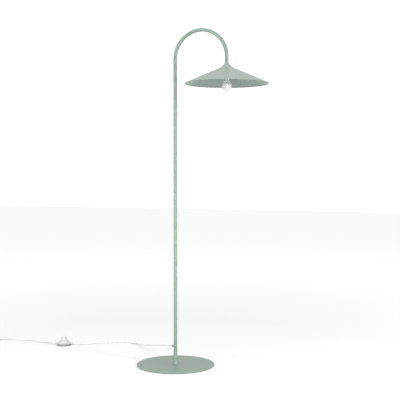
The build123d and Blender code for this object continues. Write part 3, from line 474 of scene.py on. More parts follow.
class Effects:
    """Shader node groups that several finishes share, each built once."""

    @staticmethod
    @cache
    def grain() -> bpy.types.NodeTree:
        """A fine, even grain: a mottle from 0 to 1 for colour and gloss, and a height."""
        number = SocketKind.NUMBER
        face = GroupFace(
            "grain",
            (("Place", SocketKind.PLACE), ("Fineness", number), ("Drift", number)),
            (("Mottle", number), ("Height", number)),
        )
        tree, graph, given = face.begin("ShaderNodeTree")
        fine = graph.noise(given["Place"], given["Fineness"], 2.0)
        middle = graph.maths("MULTIPLY", given["Fineness"], 0.31)
        coarse = graph.noise(given["Place"], middle, 2.0)
        drift = graph.noise(given["Place"], given["Drift"], 4.0)
        height = graph.maths("MULTIPLY_ADD", coarse, 0.6, graph.maths("MULTIPLY", fine, 0.4))
        mottle = graph.maths("MULTIPLY_ADD", drift, 0.7, graph.maths("MULTIPLY", height, 0.3))
        face.end(graph, [mottle, height])
        return tree

    @staticmethod
    @cache
    def edge_wear() -> bpy.types.NodeTree:
        """A colour that pales where the surface turns sharply outwards."""
        number = SocketKind.NUMBER
        colour = SocketKind.COLOUR
        face = GroupFace(
            "edge_wear",
            (("Colour", colour), ("Worn", colour), ("Amount", number), ("Place", SocketKind.PLACE)),
            (("Colour", colour), ("Mask", number)),
        )
        tree, graph, given = face.begin("ShaderNodeTree")
        sharp = graph.add("ShaderNodeNewGeometry").outputs["Pointiness"]
        edge = graph.spread(sharp, (0.515, 0.0), (0.60, 1.0))
        patches = graph.spread(graph.noise(given["Place"], 90.0, 5.0), (0.40, 0.0), (0.66, 1.0))
        mask = graph.maths("MULTIPLY", graph.maths("MULTIPLY", edge, patches), given["Amount"])
        face.end(graph, [graph.blend(mask, given["Colour"], given["Worn"]), mask])
        return tree

    @staticmethod
    @cache
    def dust() -> bpy.types.NodeTree:
        """A mask of thin dust that settles on faces that look upwards."""
        number = SocketKind.NUMBER
        face = GroupFace(
            "dust", (("Place", SocketKind.PLACE), ("Amount", number)), (("Mask", number),)
        )
        tree, graph, given = face.begin("ShaderNodeTree")
        normal = graph.add("ShaderNodeNewGeometry").outputs["Normal"]
        upward = graph.add("ShaderNodeSeparateXYZ", {0: normal}).outputs[2]
        level = graph.spread(upward, (0.35, 0.0), (0.95, 1.0))
        clouds = graph.spread(graph.noise(given["Place"], 14.0, 6.0), (0.35, 0.2), (0.7, 1.0))
        mask = graph.maths("MULTIPLY", graph.maths("MULTIPLY", level, clouds), given["Amount"])
        face.end(graph, [mask])
        return tree

    @staticmethod
    @cache
    def turned() -> bpy.types.NodeTree:
        """The height of fine lines that a lathe leaves round an upright axis."""
        number = SocketKind.NUMBER
        face = GroupFace(
            "turned",
            (("Place", SocketKind.PLACE), ("Pitch", number)),
            (("Height", number),),
        )
        tree, graph, given = face.begin("ShaderNodeTree")
        flat = graph.add("ShaderNodeVectorMath", {0: given["Place"], 1: (1.0, 1.0, 0.0)},
                         operation="MULTIPLY").outputs[0]
        radius = graph.add("ShaderNodeVectorMath", {0: flat}, operation="LENGTH").outputs[1]
        height = graph.add("ShaderNodeSeparateXYZ", {0: given["Place"]}).outputs[2]
        run = graph.maths("ADD", radius, height)
        line = graph.maths("SINE", graph.maths("DIVIDE", run, given["Pitch"]))
        uneven = graph.noise(graph.add("ShaderNodeCombineXYZ", {0: run}).outputs[0], 700.0, 3.0)
        face.end(graph, [graph.maths("MULTIPLY_ADD", line, 0.25, uneven)])
        return tree


# ---------------------------------------------------------------- finishes
@dataclass(frozen=True)
class Finish:
    """A material that is made once and then shared."""

    slot: str
    colour: Colour
    roughness: float
    centre: tuple[float, float, float] = (0.0, 0.0, 0.0)

    def material(self) -> bpy.types.Material:
        """Return the finish's material, made on the first call."""
        name = f"{self.slot}_{type(self).__name__}_{abs(hash_of(self)) % 10000:04d}"
        found = bpy.data.materials.get(name)
        if found:
            return found
        made = bpy.data.materials.new(name)
        made.use_nodes = True
        made.node_tree.nodes.clear()
        graph = Graph(made.node_tree)
        shader = graph.add("ShaderNodeBsdfPrincipled")
        graph.add("ShaderNodeOutputMaterial", {"Surface": shader.outputs[0]})
        origin = tuple(-value for value in self.centre)
        place = graph.add("ShaderNodeTexCoord").outputs["Object"]
        place = graph.add("ShaderNodeMapping", {"Vector": place, "Location": origin}).outputs[0]
        self.dress(graph, shader, place)
        return made

    def dress(self, graph: Graph, shader: bpy.types.Node, place: bpy.types.NodeSocket) -> None:
        """Fill in the shader; each kind of finish has its own.

        Args:
            graph: the material's tree.
            shader: its Principled shader.
            place: the object coordinates about the finish's centre.
        """
        raise NotImplementedError

    def shade(self, factor: float) -> tuple[float, float, float, float]:
        """The finish's colour made lighter or darker, with an alpha of 1."""
        return (*(min(1.0, channel * factor) for channel in self.colour), 1.0)

    def gloss(
        self, graph: Graph, mottle: Value, smoother: float, rougher: float
    ) -> bpy.types.NodeSocket:
        """Vary the roughness with a mottle, and return it.

        Args:
            graph: the material's tree.
            mottle: the pattern, mostly between 0.3 and 0.7.
            smoother: how far it goes below the finish's roughness.
            rougher: how far it goes above.

        Returns:
            The roughness.
        """
        low, high = self.roughness - smoother, self.roughness + rougher
        return graph.spread(mottle, (0.3, low), (0.7, high))

    def texture(
        self, graph: Graph, shader: bpy.types.Node, height: Value, depth: float
    ) -> None:
        """Raise the surface by a height map.

        Args:
            graph: the material's tree.
            shader: its Principled shader.
            height: the map, from 0 to 1.
            depth: the height of its peaks in metres.
        """
        bump = graph.add("ShaderNodeBump", {"Height": height, "Distance": depth})
        graph.feed(shader.inputs["Normal"], bump.outputs[0])


def hash_of(finish: Finish) -> int:
    """A number that is the same in each run for the same finish."""
    text = repr(finish)
    return sum((index + 1) * ord(letter) for index, letter in enumerate(text))


@dataclass(frozen=True)
class PowderCoat(Finish):
    """Satin powder coat with its slight orange peel, dust on top and paler edges."""

    peel: float = 0.004 * MM
    gleam: float = 0.9
    dust: float = 0.05
    wear: float = 0.22

    def dress(self, graph: Graph, shader: bpy.types.Node, place: bpy.types.NodeSocket) -> None:
        """Fill in the shader."""
        grain = graph.group(Effects.grain(), {"Place": place, "Fineness": 820.0, "Drift": 3.2})
        colour = graph.blend(grain.outputs["Mottle"], self.shade(0.965), self.shade(1.035))
        settings = {"Colour": colour, "Worn": self.shade(1.3), "Amount": self.wear, "Place": place}
        worn = graph.group(Effects.edge_wear(), settings)
        dust = graph.group(Effects.dust(), {"Place": place, "Amount": self.dust})
        mask = dust.outputs["Mask"]
        pale = graph.blend(mask, worn.outputs["Colour"], (0.62, 0.62, 0.60, 1.0))
        graph.feed(shader.inputs["Base Color"], pale)
        gloss = self.gloss(graph, grain.outputs["Mottle"], 0.04, 0.04)
        graph.feed(shader.inputs["Roughness"], graph.maths("MULTIPLY_ADD", mask, 0.4, gloss))
        graph.fill(shader, {"Specular IOR Level": self.gleam, "Coat Weight": 0.5,
                            "Coat Roughness": 0.38})
        self.texture(graph, shader, grain.outputs["Height"], self.peel)


@dataclass(frozen=True)
class MouldedPlastic(Finish):
    """Injection-moulded plastic with a spark-eroded texture and a trace of dust."""

    texture_depth: float = 0.02 * MM
    fineness: float = 1600.0
    coat: float = 0.0
    dust: float = 0.04

    def dress(self, graph: Graph, shader: bpy.types.Node, place: bpy.types.NodeSocket) -> None:
        """Fill in the shader."""
        settings = {"Place": place, "Fineness": self.fineness, "Drift": 40.0}
        grain = graph.group(Effects.grain(), settings)
        colour = graph.blend(grain.outputs["Mottle"], self.shade(0.95), self.shade(1.05))
        settings = {"Colour": colour, "Worn": self.shade(1.35), "Amount": 0.3, "Place": place}
        worn = graph.group(Effects.edge_wear(), settings)
        dust = graph.group(Effects.dust(), {"Place": place, "Amount": self.dust})
        pale = graph.blend(dust.outputs["Mask"], worn.outputs["Colour"], (0.6, 0.6, 0.58, 1.0))
        graph.feed(shader.inputs["Base Color"], pale)
        gloss = self.gloss(graph, grain.outputs["Mottle"], 0.05, 0.05)
        graph.feed(shader.inputs["Roughness"], gloss)
        graph.fill(shader, {"Coat Weight": self.coat, "Coat Roughness": 0.12})
        self.texture(graph, shader, grain.outputs["Height"], self.texture_depth)


@dataclass(frozen=True)
class ClearPlastic(Finish):
    """Clear or milky plastic: light passes through it, a little scattered."""

    clear: float = 0.6
    index: float = 1.46
    haze: float = 0.05

    def dress(self, graph: Graph, shader: bpy.types.Node, place: bpy.types.NodeSocket) -> None:
        """Fill in the shader."""
        grain = graph.group(Effects.grain(), {"Place": place, "Fineness": 260.0, "Drift": 55.0})
        colour = graph.blend(grain.outputs["Mottle"], self.shade(0.97), self.shade(1.02))
        graph.feed(shader.inputs["Base Color"], colour)
        gloss = self.gloss(graph, grain.outputs["Mottle"], 0.0, self.haze)
        graph.feed(shader.inputs["Roughness"], gloss)
        graph.fill(shader, {"Transmission Weight": self.clear, "IOR": self.index})
        self.texture(graph, shader, grain.outputs["Height"], 0.003 * MM)


@dataclass(frozen=True)
class OpalGlass(Finish):
    """Glossy glass with a white flashing that scatters light inside it."""

    scatter: float = 0.35

    def dress(self, graph: Graph, shader: bpy.types.Node, place: bpy.types.NodeSocket) -> None:
        """Fill in the shader."""
        grain = graph.group(Effects.grain(), {"Place": place, "Fineness": 120.0, "Drift": 22.0})
        height = graph.add("ShaderNodeSeparateXYZ", {0: place}).outputs[2]
        # Painted shade: the glass is coloured darker towards its top, where the shade above keeps
        # the light off, and full white at its bottom.
        painted_light_share = graph.spread(height, (-0.022, 1.0), (0.017, 0.0))
        even = graph.blend(painted_light_share, self.shade(0.86), self.shade(1.0))
        tint = graph.blend(grain.outputs["Mottle"], (0.97, 0.97, 0.97, 1.0), (1.0, 1.0, 1.0, 1.0))
        graph.feed(shader.inputs["Base Color"], graph.product(1.0, even, tint))
        gloss = self.gloss(graph, grain.outputs["Mottle"], 0.0, 0.05)
        graph.feed(shader.inputs["Roughness"], gloss)
        graph.fill(shader, {"Subsurface Weight": self.scatter,
                            "Subsurface Radius": (1.0, 1.0, 0.9), "Subsurface Scale": 6 * MM})
        self.texture(graph, shader, grain.outputs["Height"], 0.01 * MM)


@dataclass(frozen=True)
class Metal(Finish):
    """Plated or turned metal with the fine lines of its making."""

    pitch: float = 0.12 * MM
    depth: float = 0.006 * MM

    def dress(self, graph: Graph, shader: bpy.types.Node, place: bpy.types.NodeSocket) -> None:
        """Fill in the shader."""
        lines = graph.group(Effects.turned(), {"Place": place, "Pitch": self.pitch})
        tarnish = graph.spread(graph.noise(place, 150.0, 5.0), (0.35, 0.0), (0.75, 1.0))
        colour = graph.blend(tarnish, self.shade(1.05), self.shade(0.82))
        graph.feed(shader.inputs["Base Color"], colour)
        graph.feed(shader.inputs["Roughness"],
                   graph.spread(tarnish, (0.0, self.roughness - 0.06),
                                (1.0, self.roughness + 0.12)))
        shader.inputs["Metallic"].default_value = 1.0
        self.texture(graph, shader, lines.outputs["Height"], self.depth)


@dataclass(frozen=True)
class Foam(Finish):
    """Closed-cell foam or soft rubber, pitted with small pores."""

    pores: float = 900.0

    def dress(self, graph: Graph, shader: bpy.types.Node, place: bpy.types.NodeSocket) -> None:
        """Fill in the shader."""
        cells = graph.add("ShaderNodeTexVoronoi", {"Vector": place, "Scale": self.pores})
        pit = graph.spread(cells.outputs["Distance"], (0.0, 0.0), (0.45, 1.0))
        wide = graph.noise(place, 12.0, 4.0)
        # Painted shade: the colour darkens in the sunken pores, varied by a broad random tone.
        pore_shade_and_tone = graph.maths("MULTIPLY", pit, graph.spread(wide, (0.3, 0.8), (0.7, 1.0)))
        graph.feed(shader.inputs["Base Color"],
                   graph.blend(pore_shade_and_tone, self.shade(0.45), self.shade(1.15)))
        graph.feed(shader.inputs["Roughness"],
                   graph.spread(pit, (0.0, 0.95), (1.0, self.roughness)))
        self.texture(graph, shader, pit, 0.05 * MM)


@dataclass(frozen=True)
class SheathedFlex(Finish):
    """Two pale twisted cores seen through a clear sheath, by the cord's own UV map."""

    twists: float = 40.0

    def dress(self, graph: Graph, shader: bpy.types.Node, place: bpy.types.NodeSocket) -> None:
        """Fill in the shader."""
        surface = graph.add("ShaderNodeTexCoord").outputs["UV"]
        parts = graph.add("ShaderNodeSeparateXYZ", {0: surface})
        along = graph.maths("MULTIPLY", parts.outputs[0], self.twists)
        phase = graph.maths("ADD", along, graph.maths("MULTIPLY", parts.outputs[1], 2.0))
        wave = graph.maths("COSINE", graph.maths("MULTIPLY", phase, FULL_TURN))
        core = graph.spread(wave, (-0.55, 0.0), (0.35, 1.0))
        strand = graph.maths("SINE", graph.maths("MULTIPLY", phase, 9 * FULL_TURN))
        silver = graph.spread(strand, (-1.0, 0.93), (1.0, 1.04))
        grey = graph.blend(core, self.shade(0.70), self.shade(1.0))
        fleck = graph.add("ShaderNodeCombineColor", {0: silver, 1: silver, 2: silver}).outputs[0]
        graph.feed(shader.inputs["Base Color"], graph.product(core, grey, fleck))
        smears = graph.noise(place, 240.0, 4.0)
        graph.feed(shader.inputs["Roughness"], self.gloss(graph, smears, 0.0, 0.1))
        graph.fill(shader, {"Coat Weight": 0.7, "Coat Roughness": 0.08})
        self.texture(graph, shader, smears, 0.012 * MM)


@dataclass(frozen=True)
class WovenStrap(Finish):
    """A narrow woven strap, by object coordinates about its own middle."""

    thread: float = 0.45 * MM

    def dress(self, graph: Graph, shader: bpy.types.Node, place: bpy.types.NodeSocket) -> None:
        """Fill in the shader."""
        parts = graph.add("ShaderNodeSeparateXYZ", {0: place})
        waves = []
        for axis in range(3):
            step = graph.maths("DIVIDE", parts.outputs[axis], self.thread)
            waves.append(graph.maths("SINE", graph.maths("MULTIPLY", step, math.pi)))
        weave = graph.maths("MULTIPLY", graph.maths("ADD", waves[0], waves[1]), 0.5)
        weave = graph.maths("ABSOLUTE", graph.maths("MULTIPLY_ADD", waves[2], 0.5, weave))
        fuzz = graph.noise(place, 2600.0, 3.0)
        height = graph.maths("MULTIPLY_ADD", fuzz, 0.4, weave)
        # Painted shade and highlight: the hollows of the weave are coloured darker and its raised
        # threads lighter.
        graph.feed(shader.inputs["Base Color"],
                   graph.blend(height, self.shade(0.6), self.shade(1.5)))
        graph.feed(shader.inputs["Roughness"],
                   graph.spread(fuzz, (0.3, 0.8), (0.7, 0.95)))
        shader.inputs["Sheen Weight"].default_value = 0.4
        self.texture(graph, shader, height, 0.15 * MM)


# ---------------------------------------------------------------- geometry nodes
def grow(
    name: str, tree: bpy.types.NodeTree, host: bpy.types.Mesh, values: dict[str, object]
) -> bpy.types.Mesh:
    """Run a Geometry Nodes tree over a small host mesh and keep what it makes.

    Args:
        name: the name of the result.
        tree: the tree, whose first input is the host's geometry.
        host: the mesh that it starts from, which is used up.
        values: the tree's other inputs, by name.

    Returns:
        A plain mesh with its faces pointing outwards.
    """
    holder = bpy.data.objects.new(name, host)
    bpy.context.scene.collection.objects.link(holder)
    modifier = holder.modifiers.new(name, "NODES")
    modifier.node_group = tree
    for item in tree.interface.items_tree:
        if item.in_out == "INPUT" and item.name in values:
            modifier[item.identifier] = values[item.name]
    graph = bpy.context.evaluated_depsgraph_get()
    made = bpy.data.meshes.new_from_object(holder.evaluated_get(graph), depsgraph=graph)
    bpy.data.objects.remove(holder)
    bpy.data.meshes.remove(host)
    work = bmesh.new()
    work.from_mesh(made)
    bpy.data.meshes.remove(made)
    return to_mesh(work, name)


class Growths:
    """The Geometry Nodes trees, each built once."""

    @staticmethod
    def _begin(name: str, *inputs: tuple[str, SocketKind]) -> tuple:
        """Start a tree that takes a shape, some values and a material."""
        shape = ("Shape", SocketKind.SHAPE)
        finish = ("Finish", SocketKind.MATERIAL)
        face = GroupFace(name, (shape, *inputs, finish), (shape,))
        return (face, *face.begin("GeometryNodeTree"))

    @staticmethod
    def _end(face: GroupFace, graph: Graph, shape: Value, finish: Value) -> None:
        """Make the copies real, give them their material and finish the tree."""
        real = graph.add("GeometryNodeRealizeInstances", {0: shape}).outputs[0]
        dressed = graph.add("GeometryNodeSetMaterial", {"Geometry": real, "Material": finish})
        face.end(graph, [dressed.outputs[0]])

    @classmethod
    @cache
    def bent_tube(cls) -> bpy.types.NodeTree:
        """A tube along the host's edges, with every corner bent to one radius."""
        number = SocketKind.NUMBER
        sizes = (("Bend", number), ("Radius", number), ("Bend Steps", SocketKind.COUNT),
                 ("Round Steps", SocketKind.COUNT))
        face, tree, graph, given = cls._begin("bent_tube", *sizes)
        line = graph.add("GeometryNodeMeshToCurve", {"Mesh": given["Shape"]}).outputs[0]
        bend = graph.add("GeometryNodeFilletCurve", {"Curve": line, "Radius": given["Bend"]})
        if hasattr(bend, "mode"):
            bend.mode = "POLY"
        else:
            bend.inputs["Mode"].default_value = "Poly"
        graph.feed(bend.inputs["Count"], given["Bend Steps"])
        bend.inputs["Limit Radius"].default_value = True
        ring = graph.add("GeometryNodeCurvePrimitiveCircle",
                         {"Resolution": given["Round Steps"], "Radius": given["Radius"]})
        tube = graph.add("GeometryNodeCurveToMesh",
                         {"Curve": bend.outputs[0], "Profile Curve": ring.outputs[0],
                          "Fill Caps": True})
        cls._end(face, graph, tube.outputs[0], given["Finish"])
        return tree

    @classmethod
    @cache
    def wheel(cls) -> bpy.types.NodeTree:
        """Copies of the host set round an upright axis."""
        number = SocketKind.NUMBER
        sizes = (("Count", SocketKind.COUNT), ("Radius", number), ("First Angle", number))
        face, tree, graph, given = cls._begin("wheel", *sizes)
        ring = graph.add("GeometryNodeMeshCircle",
                         {"Vertices": given["Count"], "Radius": given["Radius"]})
        turn = graph.add("ShaderNodeCombineXYZ", {2: given["First Angle"]}).outputs[0]
        turned = graph.add("GeometryNodeTransform", {"Geometry": ring.outputs[0], "Rotation": turn})
        place = graph.add("GeometryNodeInputPosition").outputs[0]
        parts = graph.add("ShaderNodeSeparateXYZ", {0: place})
        angle = graph.maths("ARCTAN2", parts.outputs[1], parts.outputs[0])
        facing = graph.add("ShaderNodeCombineXYZ", {2: angle}).outputs[0]
        copies = graph.add("GeometryNodeInstanceOnPoints",
                           {"Points": turned.outputs[0], "Instance": given["Shape"],
                            "Rotation": facing})
        cls._end(face, graph, copies.outputs[0], given["Finish"])
        return tree

    @classmethod
    @cache
    def ladder(cls) -> bpy.types.NodeTree:
        """Copies of the host in a straight row."""
        sizes = (("Count", SocketKind.COUNT), ("Step", SocketKind.PLACE))
        face, tree, graph, given = cls._begin("ladder", *sizes)
        row = graph.add("GeometryNodeMeshLine", {"Count": given["Count"], "Offset": given["Step"]})
        copies = graph.add("GeometryNodeInstanceOnPoints",
                           {"Points": row.outputs[0], "Instance": given["Shape"]})
        cls._end(face, graph, copies.outputs[0], given["Finish"])
        return tree


def bar(length: float, width: float, depth: float) -> bpy.types.Mesh:
    """A low bar with rounded ends along Z, standing out along X, about its middle.

    Args:
        length: its length along Z.
        width: its width along Y.
        depth: how far it stands out each way along X.

    Returns:
        The mesh, of a few dozen faces.
    """
    reach = length / 2
    shoulder = reach - width / 2
    outline = [(0.0, -reach), (0.36 * width, -reach + 0.15 * width), (0.5 * width, -shoulder),
               (0.5 * width, shoulder), (0.36 * width, reach - 0.15 * width), (0.0, reach)]
    mesh = lathe("bar", outline, 8)
    mesh.transform(Matrix.Diagonal((2 * depth / width, 1.0, 1.0, 1.0)))
    return mesh


# ---------------------------------------------------------------- finishes in use
SAGE = PowderCoat("sage_paint", (0.168, 0.240, 0.196), 0.36)
SAGE_TURNED = PowderCoat("sage_paint", (0.168, 0.240, 0.196), 0.42)
FOAM = Foam("base_foam", (0.045, 0.046, 0.048), 0.85)
PLATED = Metal("plated_steel", (0.62, 0.62, 0.60), 0.30)
BUSH = MouldedPlastic("bush_plastic", (0.20, 0.26, 0.225), 0.45)
GLAND_GREY = MouldedPlastic("gland_plastic", (0.23, 0.26, 0.245), 0.40, coat=0.1)
SLEEVE_CLEAR = ClearPlastic("clear_sleeve", (0.80, 0.81, 0.80), 0.22, clear=0.35)
FLEX_CLEAR = SheathedFlex("clear_cord", (0.84, 0.845, 0.835), 0.28)
HOLDER_SAGE = MouldedPlastic("holder_plastic", (0.235, 0.310, 0.265), 0.40)
CERAMIC = MouldedPlastic("ceramic_core", (0.78, 0.77, 0.74), 0.22, coat=0.5, dust=0.0)
BRASS = Metal("contact_brass", (0.78, 0.56, 0.26), 0.28)
OPAL = OpalGlass("opal_glass", (0.74, 0.755, 0.73), 0.22)
BULB_COLLAR = MouldedPlastic("bulb_plastic", (0.84, 0.84, 0.83), 0.30)
LED_BOARD = MouldedPlastic("led_board", (0.82, 0.82, 0.80), 0.35)
BULB_METAL = Metal("bulb_metal", (0.66, 0.65, 0.62), 0.25)
DIMMER_GREY = MouldedPlastic("dimmer_grey", (0.25, 0.25, 0.25), 0.42, coat=0.1)
# One milky plastic in two colours: the cone's copy is darker as painted shade, the knob's copy
# lighter as painted highlight on its crown.
COVER_MILKY_SHADED = ClearPlastic("dimmer_clear", (0.585, 0.585, 0.585), 0.26, clear=0.16)
KNOB_MILKY_LIT = ClearPlastic("dimmer_clear", (0.74, 0.74, 0.74), 0.20, clear=0.16)
RUBBER = Foam("foot_rubber", (0.05, 0.05, 0.05), 0.8, pores=1500.0)
SMALL_STEEL = Metal("small_screws", (0.56, 0.56, 0.55), 0.32)
LAMINATE = MouldedPlastic("board_laminate", (0.30, 0.25, 0.12), 0.42, fineness=2600.0)
BLACK_PART = MouldedPlastic("component_black", (0.02, 0.02, 0.021), 0.40)
FILM = MouldedPlastic("capacitor_film", (0.46, 0.13, 0.07), 0.24, coat=0.5)
FUSE = ClearPlastic("fuse_glass", (0.90, 0.92, 0.92), 0.05, clear=0.85)
NYLON = MouldedPlastic("works_nylon", (0.70, 0.69, 0.64), 0.45)
PLUG_WHITE = MouldedPlastic("plug_white", (0.66, 0.66, 0.645), 0.36)
PIN_METAL = Metal("pin_metal", (0.72, 0.71, 0.68), 0.22)
STRAP = WovenStrap("tie_strap", (0.10, 0.10, 0.105), 0.85)
SPRING_STEEL = Metal("small_screws", (0.60, 0.60, 0.59), 0.26)

KEPT_NODES: dict[Finish, tuple[str, ...]] = {
    SAGE: ("stem_tube",),
    FOAM: ("base_pad",),
    PLATED: ("base_screw", "locating_pin", "foot_insert", "stop_screw", "arm_end_insert",
             "shade_nipple", "shade_washer", "shade_nut", "arm_spigot"),
    BUSH: ("swivel_bush", "thrust_washer"),
    GLAND_GREY: ("gland_wedge",),
    FLEX_CLEAR: ("stem_cable", "arm_cable"),
    CERAMIC: ("holder_core",),
    BRASS: ("terminal_screws", "holder_shell", "holder_contact"),
    LED_BOARD: ("bulb_led_board",),
    BULB_METAL: ("bulb_cap", "bulb_tip"),
    SMALL_STEEL: ("dimmer_screws", "clamp_screws", "knob_shaft"),
    LAMINATE: ("circuit_board",),
    BLACK_PART: ("dimmer_triac", "dimmer_switch_body", "dimmer_choke"),
    DIMMER_GREY: ("dimmer_base",),
    FILM: ("dimmer_capacitor",),
    FUSE: ("dimmer_fuse",),
    NYLON: ("switch_slider", "cord_clamps", "terminal_blocks"),
    STRAP: ("coil_tie",),
}


def dress_kept_nodes() -> None:
    """Give every CAD node that stays in sight, or inside, the material of its slot."""
    for finish, names in KEPT_NODES.items():
        for name in names:
            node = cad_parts[name]
            node.data.materials.clear()
            node.data.materials.append(finish.material())
            LOG.info("%s: kept as packed, finish %s", name, finish.slot)


# ---------------------------------------------------------------- free cord
@dataclass(frozen=True)
class Coil:
    """Put-away cord: turns in two layers, entered at the outside and left on top."""

    centre: Point2 = (-1.09905, 0.12427)
    radii: tuple[float, ...] = (0.0351, 0.0297, 0.0243)
    low: float = 0.0027
    high: float = 0.0081
    entry_angle: float = math.radians(115.85)
    turns: float = 5.28
    steps_per_turn: int = 16
    low_shift: Point2 = (0.80, 1.0)     # the part of a turn in which the lower layer steps inwards
    high_shift: Point2 = (0.68, 0.86)   # and in which the upper layer steps outwards
    climb_start: float = 0.82
    inside_curve: float = 0.981         # how far the curve runs inside its points

    def level(self, turn: float) -> Point2:
        """The radius and height of the cord's middle after so many turns."""
        order = [*self.radii, *reversed(self.radii)]
        innermost = len(self.radii) - 1
        full = min(int(turn), len(order) - 1)
        part = turn - full
        following = order[min(full + 1, len(order) - 1)]
        start, end = self.low_shift if full < innermost else self.high_shift
        share = min(1.0, max(0.0, (part - start) / (end - start)))
        radius = order[full] + (following - order[full]) * share
        climb = min(1.0, max(0.0, (part - self.climb_start) / (1 - self.climb_start)))
        rise = climb if full == innermost else float(full > innermost)
        return radius, self.low + (self.high - self.low) * rise

    def points(self) -> list[Corner]:
        """The spline's points along the turns, a little outside the curve they shape."""
        spread = 1 / self.inside_curve
        points = []
        for index in range(round(self.turns * self.steps_per_turn) + 1):
            turn = index / self.steps_per_turn
            radius, height = self.level(turn)
            angle = self.entry_angle + FULL_TURN * turn
            points.append((self.centre[0] + spread * radius * math.cos(angle),
                           self.centre[1] + spread * radius * math.sin(angle), height))
        return points


@dataclass(frozen=True)
class FreeCord:
    """The supply cord: gland to foot dimmer, then on to the put-away coil and the plug."""

    diameter: float = 5.4 * MM
    lead_length: float = 0.872
    supply_length: float = 1.43
    coil: Coil = Coil()
    lead_route: tuple[Corner, ...] = (
        (-0.0170, 0.0000, 0.0865), (-0.0460, 0.0000, 0.0865), (-0.0840, 0.0360, 0.0760),
        (-0.1310, 0.0970, 0.0610), (-0.1820, 0.1570, 0.0455), (-0.2340, 0.2120, 0.0300),
        (-0.2840, 0.2600, 0.0170), (-0.3360, 0.3080, 0.0070), (-0.3920, 0.3480, 0.0029),
        (-0.4540, 0.3520, 0.0027), (-0.5120, 0.3090, 0.0027), (-0.5660, 0.2730, 0.0027),
        (-0.6000, 0.2320, 0.0040), (-0.6320, 0.1920, 0.0090), (-0.67735, 0.1840, 0.0090),
    )
    supply_route: tuple[Corner, ...] = (
        (-0.72265, 0.1760, 0.0090), (-0.7680, 0.1680, 0.0090), (-0.8100, 0.1890, 0.0040),
        (-0.8560, 0.1910, 0.0027), (-0.9140, 0.2010, 0.0027), (-0.9690, 0.2030, 0.0027),
        (-1.0290, 0.1880, 0.0027), (-1.0790, 0.1670, 0.0027),
    )
    tail_route: tuple[Corner, ...] = (
        (-1.1157, 0.0875, 0.0076), (-1.1043, 0.07805, 0.0070), (-1.09656, 0.0618, 0.0070),
    )

    def spline(self, name: str, route: Sequence[Corner]) -> bpy.types.Curve:
        """Make one open, smooth curve of round section through a route.

        Args:
            name: the name of the curve.
            route: its points.

        Returns:
            The curve.
        """
        curve = bpy.data.curves.new(name, "CURVE")
        curve.dimensions = "3D"
        line = curve.splines.new("NURBS")
        line.points.add(len(route) - 1)
        for point, place in zip(line.points, route):
            point.co = (*place, 1.0)
        line.order_u = 3
        line.use_endpoint_u = True
        curve.resolution_u = 10
        curve.bevel_depth = self.diameter / 2
        curve.bevel_resolution = 6
        curve.use_fill_caps = True
        return curve

    def make(self) -> tuple[bpy.types.Object, bpy.types.Object]:
        """Make the lead and the supply cord, and return them."""
        lead = add_piece("lead_flex", self.spline("lead_flex", self.lead_route),
                         FLEX_CLEAR, Body.STAND, ["lead_cord"])
        route = [*self.supply_route, *self.coil.points(), *self.tail_route]
        supply = add_piece("supply_flex", self.spline("supply_flex", route),
                           FLEX_CLEAR, Body.STAND, ["supply_cord", "cord_coil", "plug_cord"])
        return lead, supply

    def declare(
        self,
        lead: bpy.types.Object,
        supply: bpy.types.Object,
        lead_pieces: Sequence[bpy.types.Object],
        supply_pieces: Sequence[bpy.types.Object],
    ) -> None:
        """Take the lead, the supply cord and the pieces on them; the cord's real lengths, where it
        leaves the lamp and what sits on it are not stated here.

        Args:
            lead: the piece from the gland to the dimmer; not used.
            supply: the piece from the dimmer to the plug; not used.
            lead_pieces: what sits on the lead; not used.
            supply_pieces: what sits on the supply cord; not used.
        """


@dataclass(frozen=True)
class Sleeve:
    """A ribbed, tapered sleeve that keeps a cord from kinking at its outlet."""

    cord: float = 5.4 * MM
    width: float = 8.0 * MM
    tip: float = 6.4 * MM
    length: float = 20.0 * MM
    land: float = 5.0 * MM
    rings: int = 5
    groove: float = 0.35 * MM

    def mesh(self, name: str) -> bpy.types.Mesh:
        """Make the sleeve along Z from the origin."""
        bore = self.cord / 2 - 0.05 * MM
        corners: list[Corner] = [(bore, 0, 0), (self.width / 2, 0, 0.3 * MM)]
        pitch = (self.length - self.land - 1.5 * MM) / self.rings
        for index in range(self.rings):
            share = index / self.rings
            radius = (self.width + (self.tip - self.width) * share) / 2
            height = self.land + index * pitch
            corners.append((radius, height, 0.15 * MM))
            corners.append((radius - self.groove, height + 0.25 * pitch, 0.2 * MM))
            corners.append((radius - self.groove, height + 0.55 * pitch, 0.2 * MM))
            corners.append((radius - 0.1 * MM, height + 0.8 * pitch, 0.15 * MM))
        corners.append((self.tip / 2, self.length, 0.3 * MM))
        corners += [(bore, self.length, 0), (bore, 0, 0)]
        return lathe(name, rounded(corners, 3), 48)


